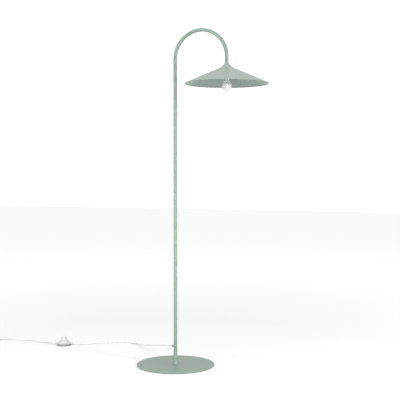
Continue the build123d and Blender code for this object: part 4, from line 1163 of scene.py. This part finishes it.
# ---------------------------------------------------------------- base and upright
@dataclass(frozen=True)
class Base:
    """The steel plate and the tapered collar at the foot of the upright."""

    low_chamfer: float = 0.4 * MM
    top_round: float = 1.3 * MM
    hole: float = 4.1 * MM
    head: float = 8.1 * MM
    sink: float = 4.0 * MM
    collar_land: float = 1.5 * MM
    collar_power: float = 1.82
    collar_steps: int = 26

    def make(self) -> None:
        """Make both pieces."""
        plate = Extent.of("base_plate")
        low, high = plate.low.z, plate.high.z
        outline = rounded([
            (self.hole, high, 0), (plate.radius, high, self.top_round),
            (plate.radius, low, self.low_chamfer), (self.head, low, 0.2 * MM),
            (self.hole, low + self.sink, 0), (self.hole, high, 0),
        ], 6)
        add_turned("base_disc", outline, 256, SAGE, Body.STAND, "base_plate")

        collar = Extent.of("foot_collar")
        bore = Extent.of("stem_tube").radius + 0.02 * MM
        lip = bore + 0.55 * MM
        foot = collar.low.z
        height = collar.high.z - foot
        corners: list[Corner] = [(bore, foot, 0), (collar.radius, foot, 0.15 * MM),
                                 (collar.radius, foot + self.collar_land, 0.5 * MM)]
        for index in range(1, self.collar_steps + 1):
            share = index / self.collar_steps
            swell = (collar.radius - lip) * (1 - share) ** self.collar_power
            rise = self.collar_land + share * (height - self.collar_land)
            corners.append((lip + swell, foot + rise, 0))
        corners += [(bore, collar.high.z, 0), (bore, foot, 0)]
        add_turned("foot_cone", rounded(corners, 4), 96, SAGE_TURNED, Body.STAND, "foot_collar")


@dataclass(frozen=True)
class Gland:
    """The round cord gland low on the upright, with its sleeve, pointing at -X."""

    height: float = 86.5 * MM
    width: float = 11.0 * MM
    bore: float = 7.2 * MM
    seat: float = 7.0 * MM
    flange: float = 3.4 * MM
    waist: float = 1.0 * MM
    tip: float = 17.0 * MM
    grip_size: Corner = (4.4 * MM, 0.9 * MM, 0.35 * MM)
    grip_middle: float = 6.6 * MM
    sleeve_start: float = 11.0 * MM
    grips: int = 14

    def make(self) -> bpy.types.Object:
        """Make the gland and return its sleeve."""
        place = pointing(Vector((0, 0, self.height)), Vector((-1, 0, 0)))
        edge = self.width / 2
        outline = rounded([
            (self.bore / 2, self.seat, 0), (edge, self.seat, 0.1 * MM),
            (edge, self.seat + self.flange, 0.5 * MM),
            (edge - 0.7 * MM, self.seat + self.flange + 0.6 * MM, 0.3 * MM),
            (edge - self.waist, self.tip - 0.8 * MM, 0.8 * MM), (self.bore / 2, self.tip, 0.3 * MM),
            (self.bore / 2, self.seat, 0),
        ], 4)
        body = lathe("gland_body", outline, 72)
        grip = placed(bar(*self.grip_size),
                      Matrix.Translation((0, 0, self.seat + self.grip_middle)))
        grips = grow("gland_grips", Growths.wheel(), grip,
                     {"Count": self.grips, "Radius": edge - self.waist, "First Angle": 0.0,
                      "Finish": GLAND_GREY.material()})
        mesh = placed(joined("gland_nut", [body, grips]), place)
        add_piece("gland_nut", mesh, GLAND_GREY, Body.STAND, ["cord_gland"])
        sleeve = Sleeve(width=7.4 * MM, length=21.5 * MM, land=7.0 * MM)
        start = Matrix.Translation((0, 0, self.sleeve_start))
        mesh = placed(sleeve.mesh("gland_boot"), place @ start)
        return add_piece("gland_boot", mesh, SLEEVE_CLEAR, Body.STAND, ["gland_sleeve"])


# ---------------------------------------------------------------- arm, shade, lampholder, bulb
@dataclass(frozen=True)
class Arm:
    """The swan neck, bent through a half circle by a rule of its two legs."""

    bend_steps: int = 72
    round_steps: int = 64

    def make(self) -> None:
        """Make the swan neck."""
        tube = Extent.of("arm_tube")
        radius = Extent.of("stem_tube").radius
        reach = Extent.of("shade").centre.x
        crown = tube.high.z - radius
        corners = [(0, 0, tube.low.z), (0, 0, crown), (reach, 0, crown),
                   (reach, 0, Extent.of("shade").high.z)]
        host = bpy.data.meshes.new("arm_path")
        host.from_pydata(corners, [(0, 1), (1, 2), (2, 3)], [])
        mesh = grow("swan_neck", Growths.bent_tube(), host, {
            "Bend": reach / 2 - 0.01 * MM, "Radius": radius, "Bend Steps": self.bend_steps,
            "Round Steps": self.round_steps, "Finish": SAGE.material(),
        })
        add_piece("swan_neck", mesh, SAGE, Body.ARM, ["arm_tube"])


@dataclass(frozen=True)
class Shade:
    """The spun cone with its steep neck and its hemmed rim."""

    wall: float = 1.0 * MM
    hole: float = 5.4 * MM
    flat: float = 8.6 * MM
    neck: float = 26.0 * MM
    neck_drop: float = 17.4 * MM
    blend: float = 30.0 * MM
    bead: float = 1.2 * MM
    hem_turn: float = math.radians(236)
    bead_steps: int = 16

    def make(self) -> None:
        """Make the shade."""
        shade = Extent.of("shade")
        top = shade.high.z
        rim = Vector((shade.radius - self.bead, shade.low.z + self.bead))
        corner = Vector((self.neck, top - self.neck_drop))
        slope = math.atan2(corner.y - rim.y, rim.x - corner.x)
        outer: list[Corner] = [
            (self.hole, top, 0), (self.flat, top, 1.2 * MM), (*corner, self.blend),
            (rim.x + self.bead * math.sin(slope), rim.y + self.bead * math.cos(slope), 0),
        ]
        inner: list[Corner] = [
            (rim.x - self.bead * 0.85, rim.y + self.bead * 0.55, 0),
            (corner.x - 0.65 * self.wall, corner.y - 1.22 * self.wall, self.blend + self.wall),
            (self.flat - 0.4 * self.wall, top - self.wall, 0.6 * MM),
            (self.hole, top - self.wall, 0),
        ]
        start = math.pi / 2 - slope
        turns = [start - self.hem_turn * step / self.bead_steps
                 for step in range(1, self.bead_steps)]
        hem = [(rim.x + self.bead * math.cos(turn), rim.y + self.bead * math.sin(turn))
               for turn in turns]
        outline = [*rounded(outer, 14), *hem, *rounded(inner, 14), (self.hole, top)]
        add_turned("spun_shade", outline, 224, SAGE_TURNED, Body.ARM, "shade")


@dataclass(frozen=True)
class Lampholder:
    """The moulded lampholder under the shade's neck, with its grip ribs."""

    wall: float = 1.6 * MM
    boss: float = 15.0 * MM
    boss_height: float = 8.0 * MM
    shoulder: float = 4.0 * MM
    hole: float = 10.1 * MM
    mouth: float = 18.6 * MM
    floor: float = 3.0 * MM
    rib_sink: float = 0.5 * MM
    parting_gap: float = 0.15 * MM
    ribs: int = 28
    rib_size: Point2 = (1.5 * MM, 0.45 * MM)
    rib_low: float = 4.1 * MM
    rib_top: float = 3.3 * MM

    def make(self) -> None:
        """Make the cap and the barrel."""
        cap = Extent.of("holder_cap")
        edge = cap.radius
        inside = edge - self.wall
        boss_low = cap.high.z - self.boss_height
        shoulder = boss_low - self.shoulder
        outline = rounded([
            (self.hole / 2, boss_low - self.wall, 0), (self.hole / 2, cap.high.z, 0.2 * MM),
            (self.boss / 2, cap.high.z, 0.6 * MM), (self.boss / 2, boss_low, 1.2 * MM),
            (edge, shoulder, 2.0 * MM), (edge, cap.low.z, 0.35 * MM),
            (inside, cap.low.z, 0.1 * MM), (inside, shoulder - 0.4 * self.wall, 0.4 * MM),
            (self.hole / 2, boss_low - self.wall, 0),
        ], 5)
        add_turned("holder_dome", outline, 96, HOLDER_SAGE, Body.ARM, "holder_cap")

        barrel = Extent.of("holder_barrel")
        low, high = barrel.low.z, barrel.high.z
        seam = cap.low.z - self.parting_gap
        inside = edge - self.wall - 0.05 * MM
        waist = edge - self.rib_sink
        outline = rounded([
            (self.mouth / 2, low, 0.1 * MM), (edge, low, 0.8 * MM),
            (edge, low + self.floor, 0.3 * MM), (waist, low + self.floor + 0.6 * MM, 0.3 * MM),
            (waist, seam - 2.45 * MM, 0.3 * MM), (edge, seam - 1.85 * MM, 0.3 * MM),
            (edge, seam, 0.3 * MM), (inside, seam, 0), (inside, high, 0.2 * MM),
            (inside - self.wall, high, 0.2 * MM), (inside - self.wall, low + self.floor, 0),
            (self.mouth / 2, low + self.floor, 0), (self.mouth / 2, low, 0),
        ], 4)
        body = lathe("holder_sleeve", outline, 96)
        span = cap.low.z - low - self.rib_low - self.rib_top
        rib = placed(bar(span, *self.rib_size),
                     Matrix.Translation((0, 0, low + self.rib_low + span / 2)))
        ribs = grow("holder_ribs", Growths.wheel(), rib,
                    {"Count": self.ribs, "Radius": edge - 0.55 * MM, "First Angle": 0.0,
                     "Finish": HOLDER_SAGE.material()})
        mesh = placed(joined("holder_sleeve", [body, ribs]), Matrix.Translation(barrel.at()))
        add_piece("holder_sleeve", mesh, HOLDER_SAGE, Body.ARM, ["holder_barrel"])


@dataclass(frozen=True)
class Bulb:
    """The opal globe bulb, whose lower part shows below the shade."""

    rim_radius: float = 14.9 * MM
    skirt: float = 15.4 * MM
    skirt_height: float = 9.0 * MM
    overlap: float = 0.6 * MM
    throat: float = 8.3 * MM
    steps: int = 40

    def make(self) -> None:
        """Make the glass and the collar that it sits in."""
        globe = Extent.of("bulb_globe")
        radius = globe.radius
        middle = globe.low.z + radius
        rise = math.sqrt(radius ** 2 - self.rim_radius ** 2)
        last = math.pi / 2 + math.asin(rise / radius)
        arc = [(radius * math.sin(last * step / self.steps),
                middle - radius * math.cos(last * step / self.steps))
               for step in range(self.steps + 1)]
        outline = [(0.0, arc[0][1]), *arc[1:], (0.0, arc[-1][1])]
        glass = replace(OPAL, centre=tuple(globe.at(middle)))
        add_turned("opal_globe", outline, 96, glass, Body.ARM, "bulb_globe")

        collar = Extent.of("bulb_collar")
        low = middle + rise - self.overlap
        shoulder = low + self.skirt_height
        outline = rounded([
            (0, low, 0), (self.skirt, low, 0.3 * MM), (self.skirt, low + 1.6 * MM, 0.6 * MM),
            (self.throat + 0.6 * MM, shoulder, 2.5 * MM),
            (self.throat, shoulder + 1.2 * MM, 0.8 * MM),
            (self.throat, collar.high.z, 0.3 * MM), (0, collar.high.z, 0),
        ], 5)
        add_turned("bulb_skirt", outline, 96, BULB_COLLAR, Body.ARM, "bulb_collar")


# ---------------------------------------------------------------- foot dimmer
@dataclass(frozen=True)
class FootDimmer:
    """The round foot dimmer: grey base, milky cone, fluted knob that turns and presses."""

    yaw: float = math.radians(10)
    wall: float = 2.0 * MM
    lip: float = 2.0 * MM
    collar_height: float = 28.0 * MM
    gap: float = 0.6 * MM
    flutes: int = 12
    flute_radius: float = 1.8 * MM
    flute_low: float = 31.2 * MM
    flute_high: float = 40.5 * MM
    crown: float = 5.0 * MM
    sleeve_start: float = 28.0 * MM
    cord_height: float = 9.0 * MM
    spring_wire: float = 0.45 * MM
    spring_turns: float = 3.0
    travel: float = 2.5 * MM
    foot_inset: float = 17.5 * MM
    pad_radius: float = 5.0 * MM
    pads: int = 4
    skirt: float = 8.0 * MM

    @property
    def place(self) -> Matrix:
        """The placement of pieces made about the dimmer's own axis."""
        at = Extent.of("dimmer_knob").at()
        return Matrix.Translation(at) @ Matrix.Rotation(self.yaw, 4, "Z")

    def fluted(self, radius: float, height: float, angle: float) -> float:
        """The knob's radius at an angle, with its shallow round grooves.

        Args:
            radius: the radius of the plain outline.
            height: the height of the point.
            angle: its angle round the axis.

        Returns:
            The radius with the grooves cut in.
        """
        if radius < 12.5 * MM or not self.flute_low < height < self.flute_high:
            return radius
        pitch = FULL_TURN / self.flutes
        away = radius * abs((angle + pitch / 2) % pitch - pitch / 2)
        fade = min(1.0, (self.flute_high - height) / MM, (height - self.flute_low) / MM)
        cut = math.sqrt(max(0.0, self.flute_radius ** 2 - away ** 2)) - 0.1 * MM
        return radius - max(0.0, cut) * math.sin(fade * math.pi / 2)

    def make_feet(self) -> None:
        """Make the four rubber feet under the grey base."""
        edge = Extent.of("dimmer_cover").radius
        high = Extent.of("dimmer_feet").high.z
        wide = self.pad_radius
        pad = lathe("foot_pad", [(0, 0), (wide - 1.1 * MM, 0), (wide - 0.2 * MM, 0.5 * MM),
                                 (wide, high), (0, high)], 12)
        pads = grow("dimmer_pads", Growths.wheel(), pad,
                    {"Count": self.pads, "Radius": edge - self.foot_inset,
                     "First Angle": math.radians(45), "Finish": RUBBER.material()})
        add_piece("dimmer_pads", placed(pads, self.place), RUBBER, Body.STAND, ["dimmer_feet"])

    def make_cover(self) -> None:
        """Make the milky cone."""
        cover = Extent.of("dimmer_cover")
        knob = Extent.of("dimmer_knob")
        edge = cover.radius
        parting = cover.low.z
        bore = knob.radius + self.gap
        neck = bore + self.wall
        high = self.collar_height
        slope = math.atan2(high - 2 * self.lip - parting, edge - neck)
        drop = self.wall / math.cos(slope) - 0.6 * self.wall
        outline = rounded([
            (edge - self.wall, parting, 0), (edge, parting, 0.3 * MM),
            (edge, parting + self.lip, 1.2 * MM), (neck, high - self.lip, 1.6 * MM),
            (neck - 0.2 * MM, high, 0.5 * MM), (bore, high, 0.3 * MM),
            (bore, high - self.lip - drop, 1.0 * MM),
            (edge - self.wall, parting + self.lip - drop, 0.6 * MM), (edge - self.wall, parting, 0),
        ], 6)
        mesh = placed(lathe("dimmer_cone", outline, 144), self.place)
        add_piece("dimmer_cone", mesh, COVER_MILKY_SHADED, Body.STAND, ["dimmer_cover"])

    def make_knob(self) -> None:
        """Make the fluted knob."""
        knob = Extent.of("dimmer_knob")
        edge = knob.radius
        low = self.collar_height - self.skirt
        shoulder = knob.high.z - self.crown
        crown_edge = edge - 1.0 * MM
        crown_radius = (crown_edge ** 2 + self.crown ** 2) / (2 * self.crown)
        corners: list[Corner] = [
            (0, shoulder - 1.0 * MM, 0), (edge - 3.0 * MM, shoulder - 1.0 * MM, 0.8 * MM),
            (edge - 2.0 * MM, low, 0.2 * MM), (edge, low, 0.4 * MM),
            (edge, self.collar_height, 0),
        ]
        steps = 18
        for index in range(1, steps):
            height = self.flute_low + (self.flute_high - self.flute_low) * index / steps
            share = (height - self.collar_height) / (shoulder - self.collar_height)
            corners.append((edge - share * (edge - crown_edge), height, 0))
        corners.append((crown_edge, shoulder, 1.6 * MM))
        for index in range(1, 12):
            radius = crown_edge * (1 - index / 12) * 0.96
            drop = crown_radius - math.sqrt(crown_radius ** 2 - radius ** 2)
            corners.append((radius, knob.high.z - drop, 0))
        corners.append((0, knob.high.z, 0))
        mesh = lathe("dimmer_dial", rounded(corners, 5), 360, self.fluted)
        add_piece("dimmer_dial", placed(mesh, self.place), KNOB_MILKY_LIT, Body.DIAL, ["dimmer_knob"])

    def make_sleeve(self, side: Side) -> bpy.types.Object:
        """Make the sleeve on one side and return it.

        Args:
            side: which end of the cord line it sits on.

        Returns:
            The new piece.
        """
        heading = Vector((side.value * math.cos(self.yaw), side.value * math.sin(self.yaw), 0))
        origin = Extent.of("dimmer_knob").at(self.cord_height) + heading * self.sleeve_start
        name = f"dimmer_boot_{side.name.lower()}"
        mesh = placed(Sleeve(land=11.5 * MM, rings=3).mesh(name), pointing(origin, heading))
        stands_for = ["dimmer_sleeves"] if side is Side.LEFT else []
        return add_piece(name, mesh, SLEEVE_CLEAR, Body.STAND, stands_for)

    def make_spring(self) -> None:
        """Make the return spring; the real one flattens as the knob is pressed, this one keeps its
        shape.
        """
        spring = Extent.of("return_spring")
        wire = self.spring_wire
        middle = spring.radius - wire
        rise = spring.high.z - spring.low.z - 2 * wire
        steps = round(self.spring_turns * 32)

        def turn(index: int) -> Callable[[float], Vector]:
            """The wire's section after so many steps."""
            around = FULL_TURN * self.spring_turns * index / steps
            out = Vector((math.cos(around), math.sin(around), 0))
            centre = out * middle + Vector((0, 0, spring.low.z + wire + rise * index / steps))
            return lambda angle: (centre + out * wire * math.cos(angle)
                                  + Vector((0, 0, wire)) * math.sin(angle))

        mesh = loft("press_spring", [turn(index) for index in range(steps + 1)], 10)
        piece = add_piece("press_spring", placed(mesh, self.place), SPRING_STEEL, Body.STAND,
                          ["return_spring"])
        tuple(spring.at(spring.low.z))
        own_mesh(piece)

    def make(self) -> dict[Side, bpy.types.Object]:
        """Make the dimmer and return its two sleeves."""
        self.make_feet()
        self.make_spring()
        self.make_cover()
        self.make_knob()
        return {side: self.make_sleeve(side) for side in Side}


# ---------------------------------------------------------------- plug
@dataclass(frozen=True)
class Plug:
    """The flat two-pin plug at the end of the cord."""

    start: Corner = (-1.09656, 0.0618, 0.007)
    heading: Corner = (0.43064536, -0.90252123, 0.0)
    relief: float = 25.0 * MM
    length: float = 36.0 * MM
    width: float = 27.0 * MM
    tail_width: float = 17.0 * MM
    thick: float = 14.0 * MM
    pin: float = 4.0 * MM
    pin_length: float = 19.0 * MM
    pin_gap: float = 19.0 * MM
    sleeve_length: float = 9.0 * MM
    root: float = 9.0 * MM
    squareness: float = 4.2
    rib_size: Corner = (15.0 * MM, 1.1 * MM, 0.45 * MM)
    rib_pitch: float = 2.4 * MM
    ribs: int = 5

    @property
    def place(self) -> Matrix:
        """The placement of pieces made along the plug's length from the end of the cord."""
        return pointing(Vector(self.start), Vector(self.heading))

    def body(self) -> bpy.types.Mesh:
        """The moulded body with its waist and its grip ribs."""
        stations = [(0.0, 0.86, 0.72), (0.035, 0.97, 0.86), (0.10, 1.0, 1.0), (0.16, 1.0, 1.0)]
        low = self.relief
        rows = [(low + share * self.length, self.tail_width / 2 * wide, 5.5 * MM * thick)
                for share, wide, thick in stations]
        for share in (0.26, 0.36, 0.44, 0.50):
            ease = math.sin((share - 0.16) / 0.34 * math.pi / 2) ** 2
            wide = self.tail_width + (self.width - self.tail_width) * ease
            rows.append((low + share * self.length, wide / 2, (5.5 + 1.5 * ease) * MM))
        flush = (self.width / 2, self.thick / 2)
        rows += [(low + 0.52 * self.length, *flush), (low + 0.95 * self.length, *flush),
                 (low + 0.985 * self.length, flush[0] - 0.35 * MM, flush[1] - 0.35 * MM),
                 (low + self.length, flush[0] - 1.1 * MM, flush[1] - 1.1 * MM)]

        def edge(row: Corner) -> Callable[[float], Vector]:
            """The rounded-rectangle edge of one station."""
            power = 2 / self.squareness

            def point(angle: float) -> Vector:
                """One place on the station's edge."""
                across = math.copysign(abs(math.cos(angle)) ** power, math.cos(angle))
                lift = math.copysign(abs(math.sin(angle)) ** power, math.sin(angle))
                return Vector((row[1] * across, row[2] * lift, row[0]))

            return point

        shell = loft("plug_shell", [edge(row) for row in rows], 72)
        pieces = [shell]
        for side in Side:
            at = Matrix.Translation((0, side.value * self.thick / 2, low + 0.56 * self.length))
            rib = placed(bar(*self.rib_size),
                         at @ Matrix.Rotation(math.pi / 2, 4, "Y"))
            pieces.append(grow(f"plug_ribs_{side.name.lower()}", Growths.ladder(), rib,
                               {"Count": self.ribs, "Step": (0.0, 0.0, self.rib_pitch),
                                "Finish": PLUG_WHITE.material()}))
        return joined("plug_housing", pieces)

    def make(self) -> list[bpy.types.Object]:
        """Make the plug's pieces and return them."""
        made = [add_piece("plug_housing", placed(self.body(), self.place), PLUG_WHITE,
                          Body.STAND, ["plug_body"])]
        boot = Sleeve(width=9.2 * MM, tip=6.4 * MM, length=self.relief, land=1.5 * MM, rings=6)
        flip = Matrix.Translation((0, 0, self.relief)) @ Matrix.Rotation(math.pi, 4, "X")
        mesh = placed(boot.mesh("plug_boot"), self.place @ flip)
        made.append(add_piece("plug_boot", mesh, PLUG_WHITE, Body.STAND, ["plug_relief"]))
        face = self.relief + self.length
        tip = face + self.pin_length
        root = face - self.root
        wide = self.pin / 2
        slim = wide - 0.12 * MM
        bare = 1.8 * MM
        cover = wide + 0.02 * MM
        end = face + self.sleeve_length
        metal = []
        sleeves = []
        for side in Side:
            at = Matrix.Translation((side.value * self.pin_gap / 2, 0, 0))
            pin = rounded([(0, root, 0), (1.7 * MM, root, 0.2 * MM), (1.7 * MM, face, 0),
                           (slim, face, 0), (slim, face + 8 * MM, 0), (wide, face + 8.4 * MM, 0),
                           (wide, tip, 1.6 * MM), (0, tip, 0)], 6)
            metal.append(placed(lathe("pin", pin, 32), at))
            cuff = rounded([(bare, face - MM, 0), (cover, face - MM, 0), (cover, end, 0.15 * MM),
                            (bare, end, 0), (bare, face - MM, 0)], 3)
            sleeves.append(placed(lathe("cuff", cuff, 32), at))
        made.append(add_piece("plug_prongs", placed(joined("plug_prongs", metal), self.place),
                              PIN_METAL, Body.STAND, ["plug_pins"]))
        made.append(add_piece("plug_cuffs", placed(joined("plug_cuffs", sleeves), self.place),
                              PLUG_WHITE, Body.STAND))
        return made


# ---------------------------------------------------------------- camera, floor and light
@dataclass(frozen=True)
class Softbox:
    """A soft rectangular light that points at one place."""

    name: str
    at: Corner
    aim: Corner
    size: Point2
    power: float

    def make(self) -> None:
        """Add the light."""
        light = bpy.data.lights.new(self.name, "AREA")
        light.shape = "RECTANGLE"
        light.size, light.size_y = self.size
        light.energy = self.power
        holder = bpy.data.objects.new(self.name, light)
        holder.location = self.at
        aim = Vector(self.aim) - Vector(self.at)
        holder.rotation_euler = aim.to_track_quat("-Z", "Y").to_euler()
        bpy.context.scene.collection.objects.link(holder)


@dataclass(frozen=True)
class Backdrop(Finish):
    """The pale, matt floor of the studio, paler far off and dimmer in what it throws back."""

    near: float = 1.2
    far: float = 3.6
    bounce: float = 0.56

    def dress(self, graph: Graph, shader: bpy.types.Node, place: bpy.types.NodeSocket) -> None:
        """Fill in the shader."""
        even = graph.noise(place, 1.3, 3.0)
        near = graph.blend(even, self.shade(0.995), self.shade(1.005))
        away = graph.add("ShaderNodeVectorMath", {0: place}, operation="LENGTH").outputs[1]
        far = graph.spread(away, (self.near, 0.0), (self.far, 1.0))
        seen = graph.blend(far, near, (0.98, 0.98, 0.98, 1.0))
        bounce = graph.add("ShaderNodeLightPath").outputs["Is Diffuse Ray"]
        dim = graph.blend(bounce, seen, self.shade(self.bounce))
        graph.feed(shader.inputs["Base Color"], dim)
        graph.fill(shader, {"Roughness": self.roughness, "Specular IOR Level": 0.0})


@dataclass(frozen=True)
class Studio:
    """The camera, the plain pale floor and the soft light."""

    lens: float = 74.5
    sensor: float = 36.0
    position: Corner = (1.541, -3.396, 0.870)
    azimuth: float = math.radians(22.7)
    pitch: float = math.radians(1.87)
    horizon: float = 0.30
    zenith: float = 1.30
    seen: float = 1.1
    floor_half: float = 15.0
    floor: Backdrop = Backdrop("studio_floor", (0.745, 0.745, 0.745), 0.9)
    lights: tuple[Softbox, ...] = (
        Softbox("overhead", (0.0, -0.2, 3.4), (0.1, 0.0, 0.0), (2.4, 2.4), 17.0),
        Softbox("front_low", (1.2, -3.6, 0.5), (0.1, 0.0, 0.5), (1.8, 0.8), 48.0),
        Softbox("strip_right", (3.2, -0.7, 1.0), (0.1, 0.0, 0.9), (0.40, 2.8), 84.0),
        Softbox("strip_left", (-2.2, -3.0, 1.1), (0.1, 0.0, 0.9), (0.35, 2.6), 60.0),
    )

    def make_camera(self) -> None:
        """Add the camera and make it the scene's."""
        camera = bpy.data.cameras.new("camera")
        camera.lens = self.lens
        camera.sensor_width = self.sensor
        holder = bpy.data.objects.new("camera", camera)
        level = math.cos(self.pitch)
        forward = Vector((-math.sin(self.azimuth) * level, math.cos(self.azimuth) * level,
                          -math.sin(self.pitch)))
        holder.location = self.position
        holder.rotation_euler = forward.to_track_quat("-Z", "Y").to_euler()
        bpy.context.scene.collection.objects.link(holder)
        bpy.context.scene.camera = holder

    def make_room(self) -> None:
        """Add the floor, the even surround and the lights."""
        half = self.floor_half
        mesh = bpy.data.meshes.new("studio_floor")
        mesh.from_pydata([(-half, -half, 0), (half, -half, 0), (half, half, 0), (-half, half, 0)],
                         [], [(0, 1, 2, 3)])
        mesh.materials.append(self.floor.material())
        ground = bpy.data.objects.new("studio_floor", mesh)
        bpy.context.scene.collection.objects.link(ground)
        self.make_surround()
        for light in self.lights:
            light.make()
        bpy.context.scene.view_settings.view_transform = "Standard"

    def make_surround(self) -> None:
        """Add a white backdrop whose light comes mostly from above."""
        world = bpy.data.worlds.new("surround")
        world.use_nodes = True
        graph = Graph(world.node_tree)
        background = world.node_tree.nodes["Background"]
        background.inputs["Color"].default_value = (1.0, 1.0, 1.0, 1.0)
        heading = graph.add("ShaderNodeTexCoord").outputs["Generated"]
        height = graph.add("ShaderNodeSeparateXYZ", {0: heading}).outputs[2]
        light = graph.spread(height, (0.0, self.horizon), (1.0, self.zenith))
        seen = graph.add("ShaderNodeLightPath").outputs["Is Camera Ray"]
        strength = graph.add("ShaderNodeMix", {0: seen, 2: light, 3: self.seen}).outputs[0]
        graph.feed(background.inputs["Strength"], strength)
        bpy.context.scene.world = world


# ---------------------------------------------------------------- the whole lamp
@dataclass(frozen=True)
class FloorLamp:
    """The complete lamp."""

    cord: FreeCord = FreeCord()
    base: Base = Base()
    gland: Gland = Gland()
    arm: Arm = Arm()
    shade: Shade = Shade()
    lampholder: Lampholder = Lampholder()
    bulb: Bulb = Bulb()
    dimmer: FootDimmer = FootDimmer()
    plug: Plug = Plug()

    def make(self) -> None:
        lead, supply = self.cord.make()
        dress_kept_nodes()
        self.base.make()
        boot = self.gland.make()
        self.arm.make()
        self.shade.make()
        self.lampholder.make()
        self.bulb.make()
        sleeves = self.dimmer.make()
        on_supply = [sleeves[Side.LEFT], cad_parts["coil_tie"], *self.plug.make()]
        self.cord.declare(lead, supply, [boot, sleeves[Side.RIGHT]], on_supply)


def main() -> None:
    """Set up the studio and make the lamp."""
    logging.basicConfig(level=logging.INFO, format="%(name)s %(message)s")
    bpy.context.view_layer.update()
    studio = Studio()
    studio.make_camera()
    studio.make_room()
    FloorLamp().make()


if __name__ == "__main__":
    main()
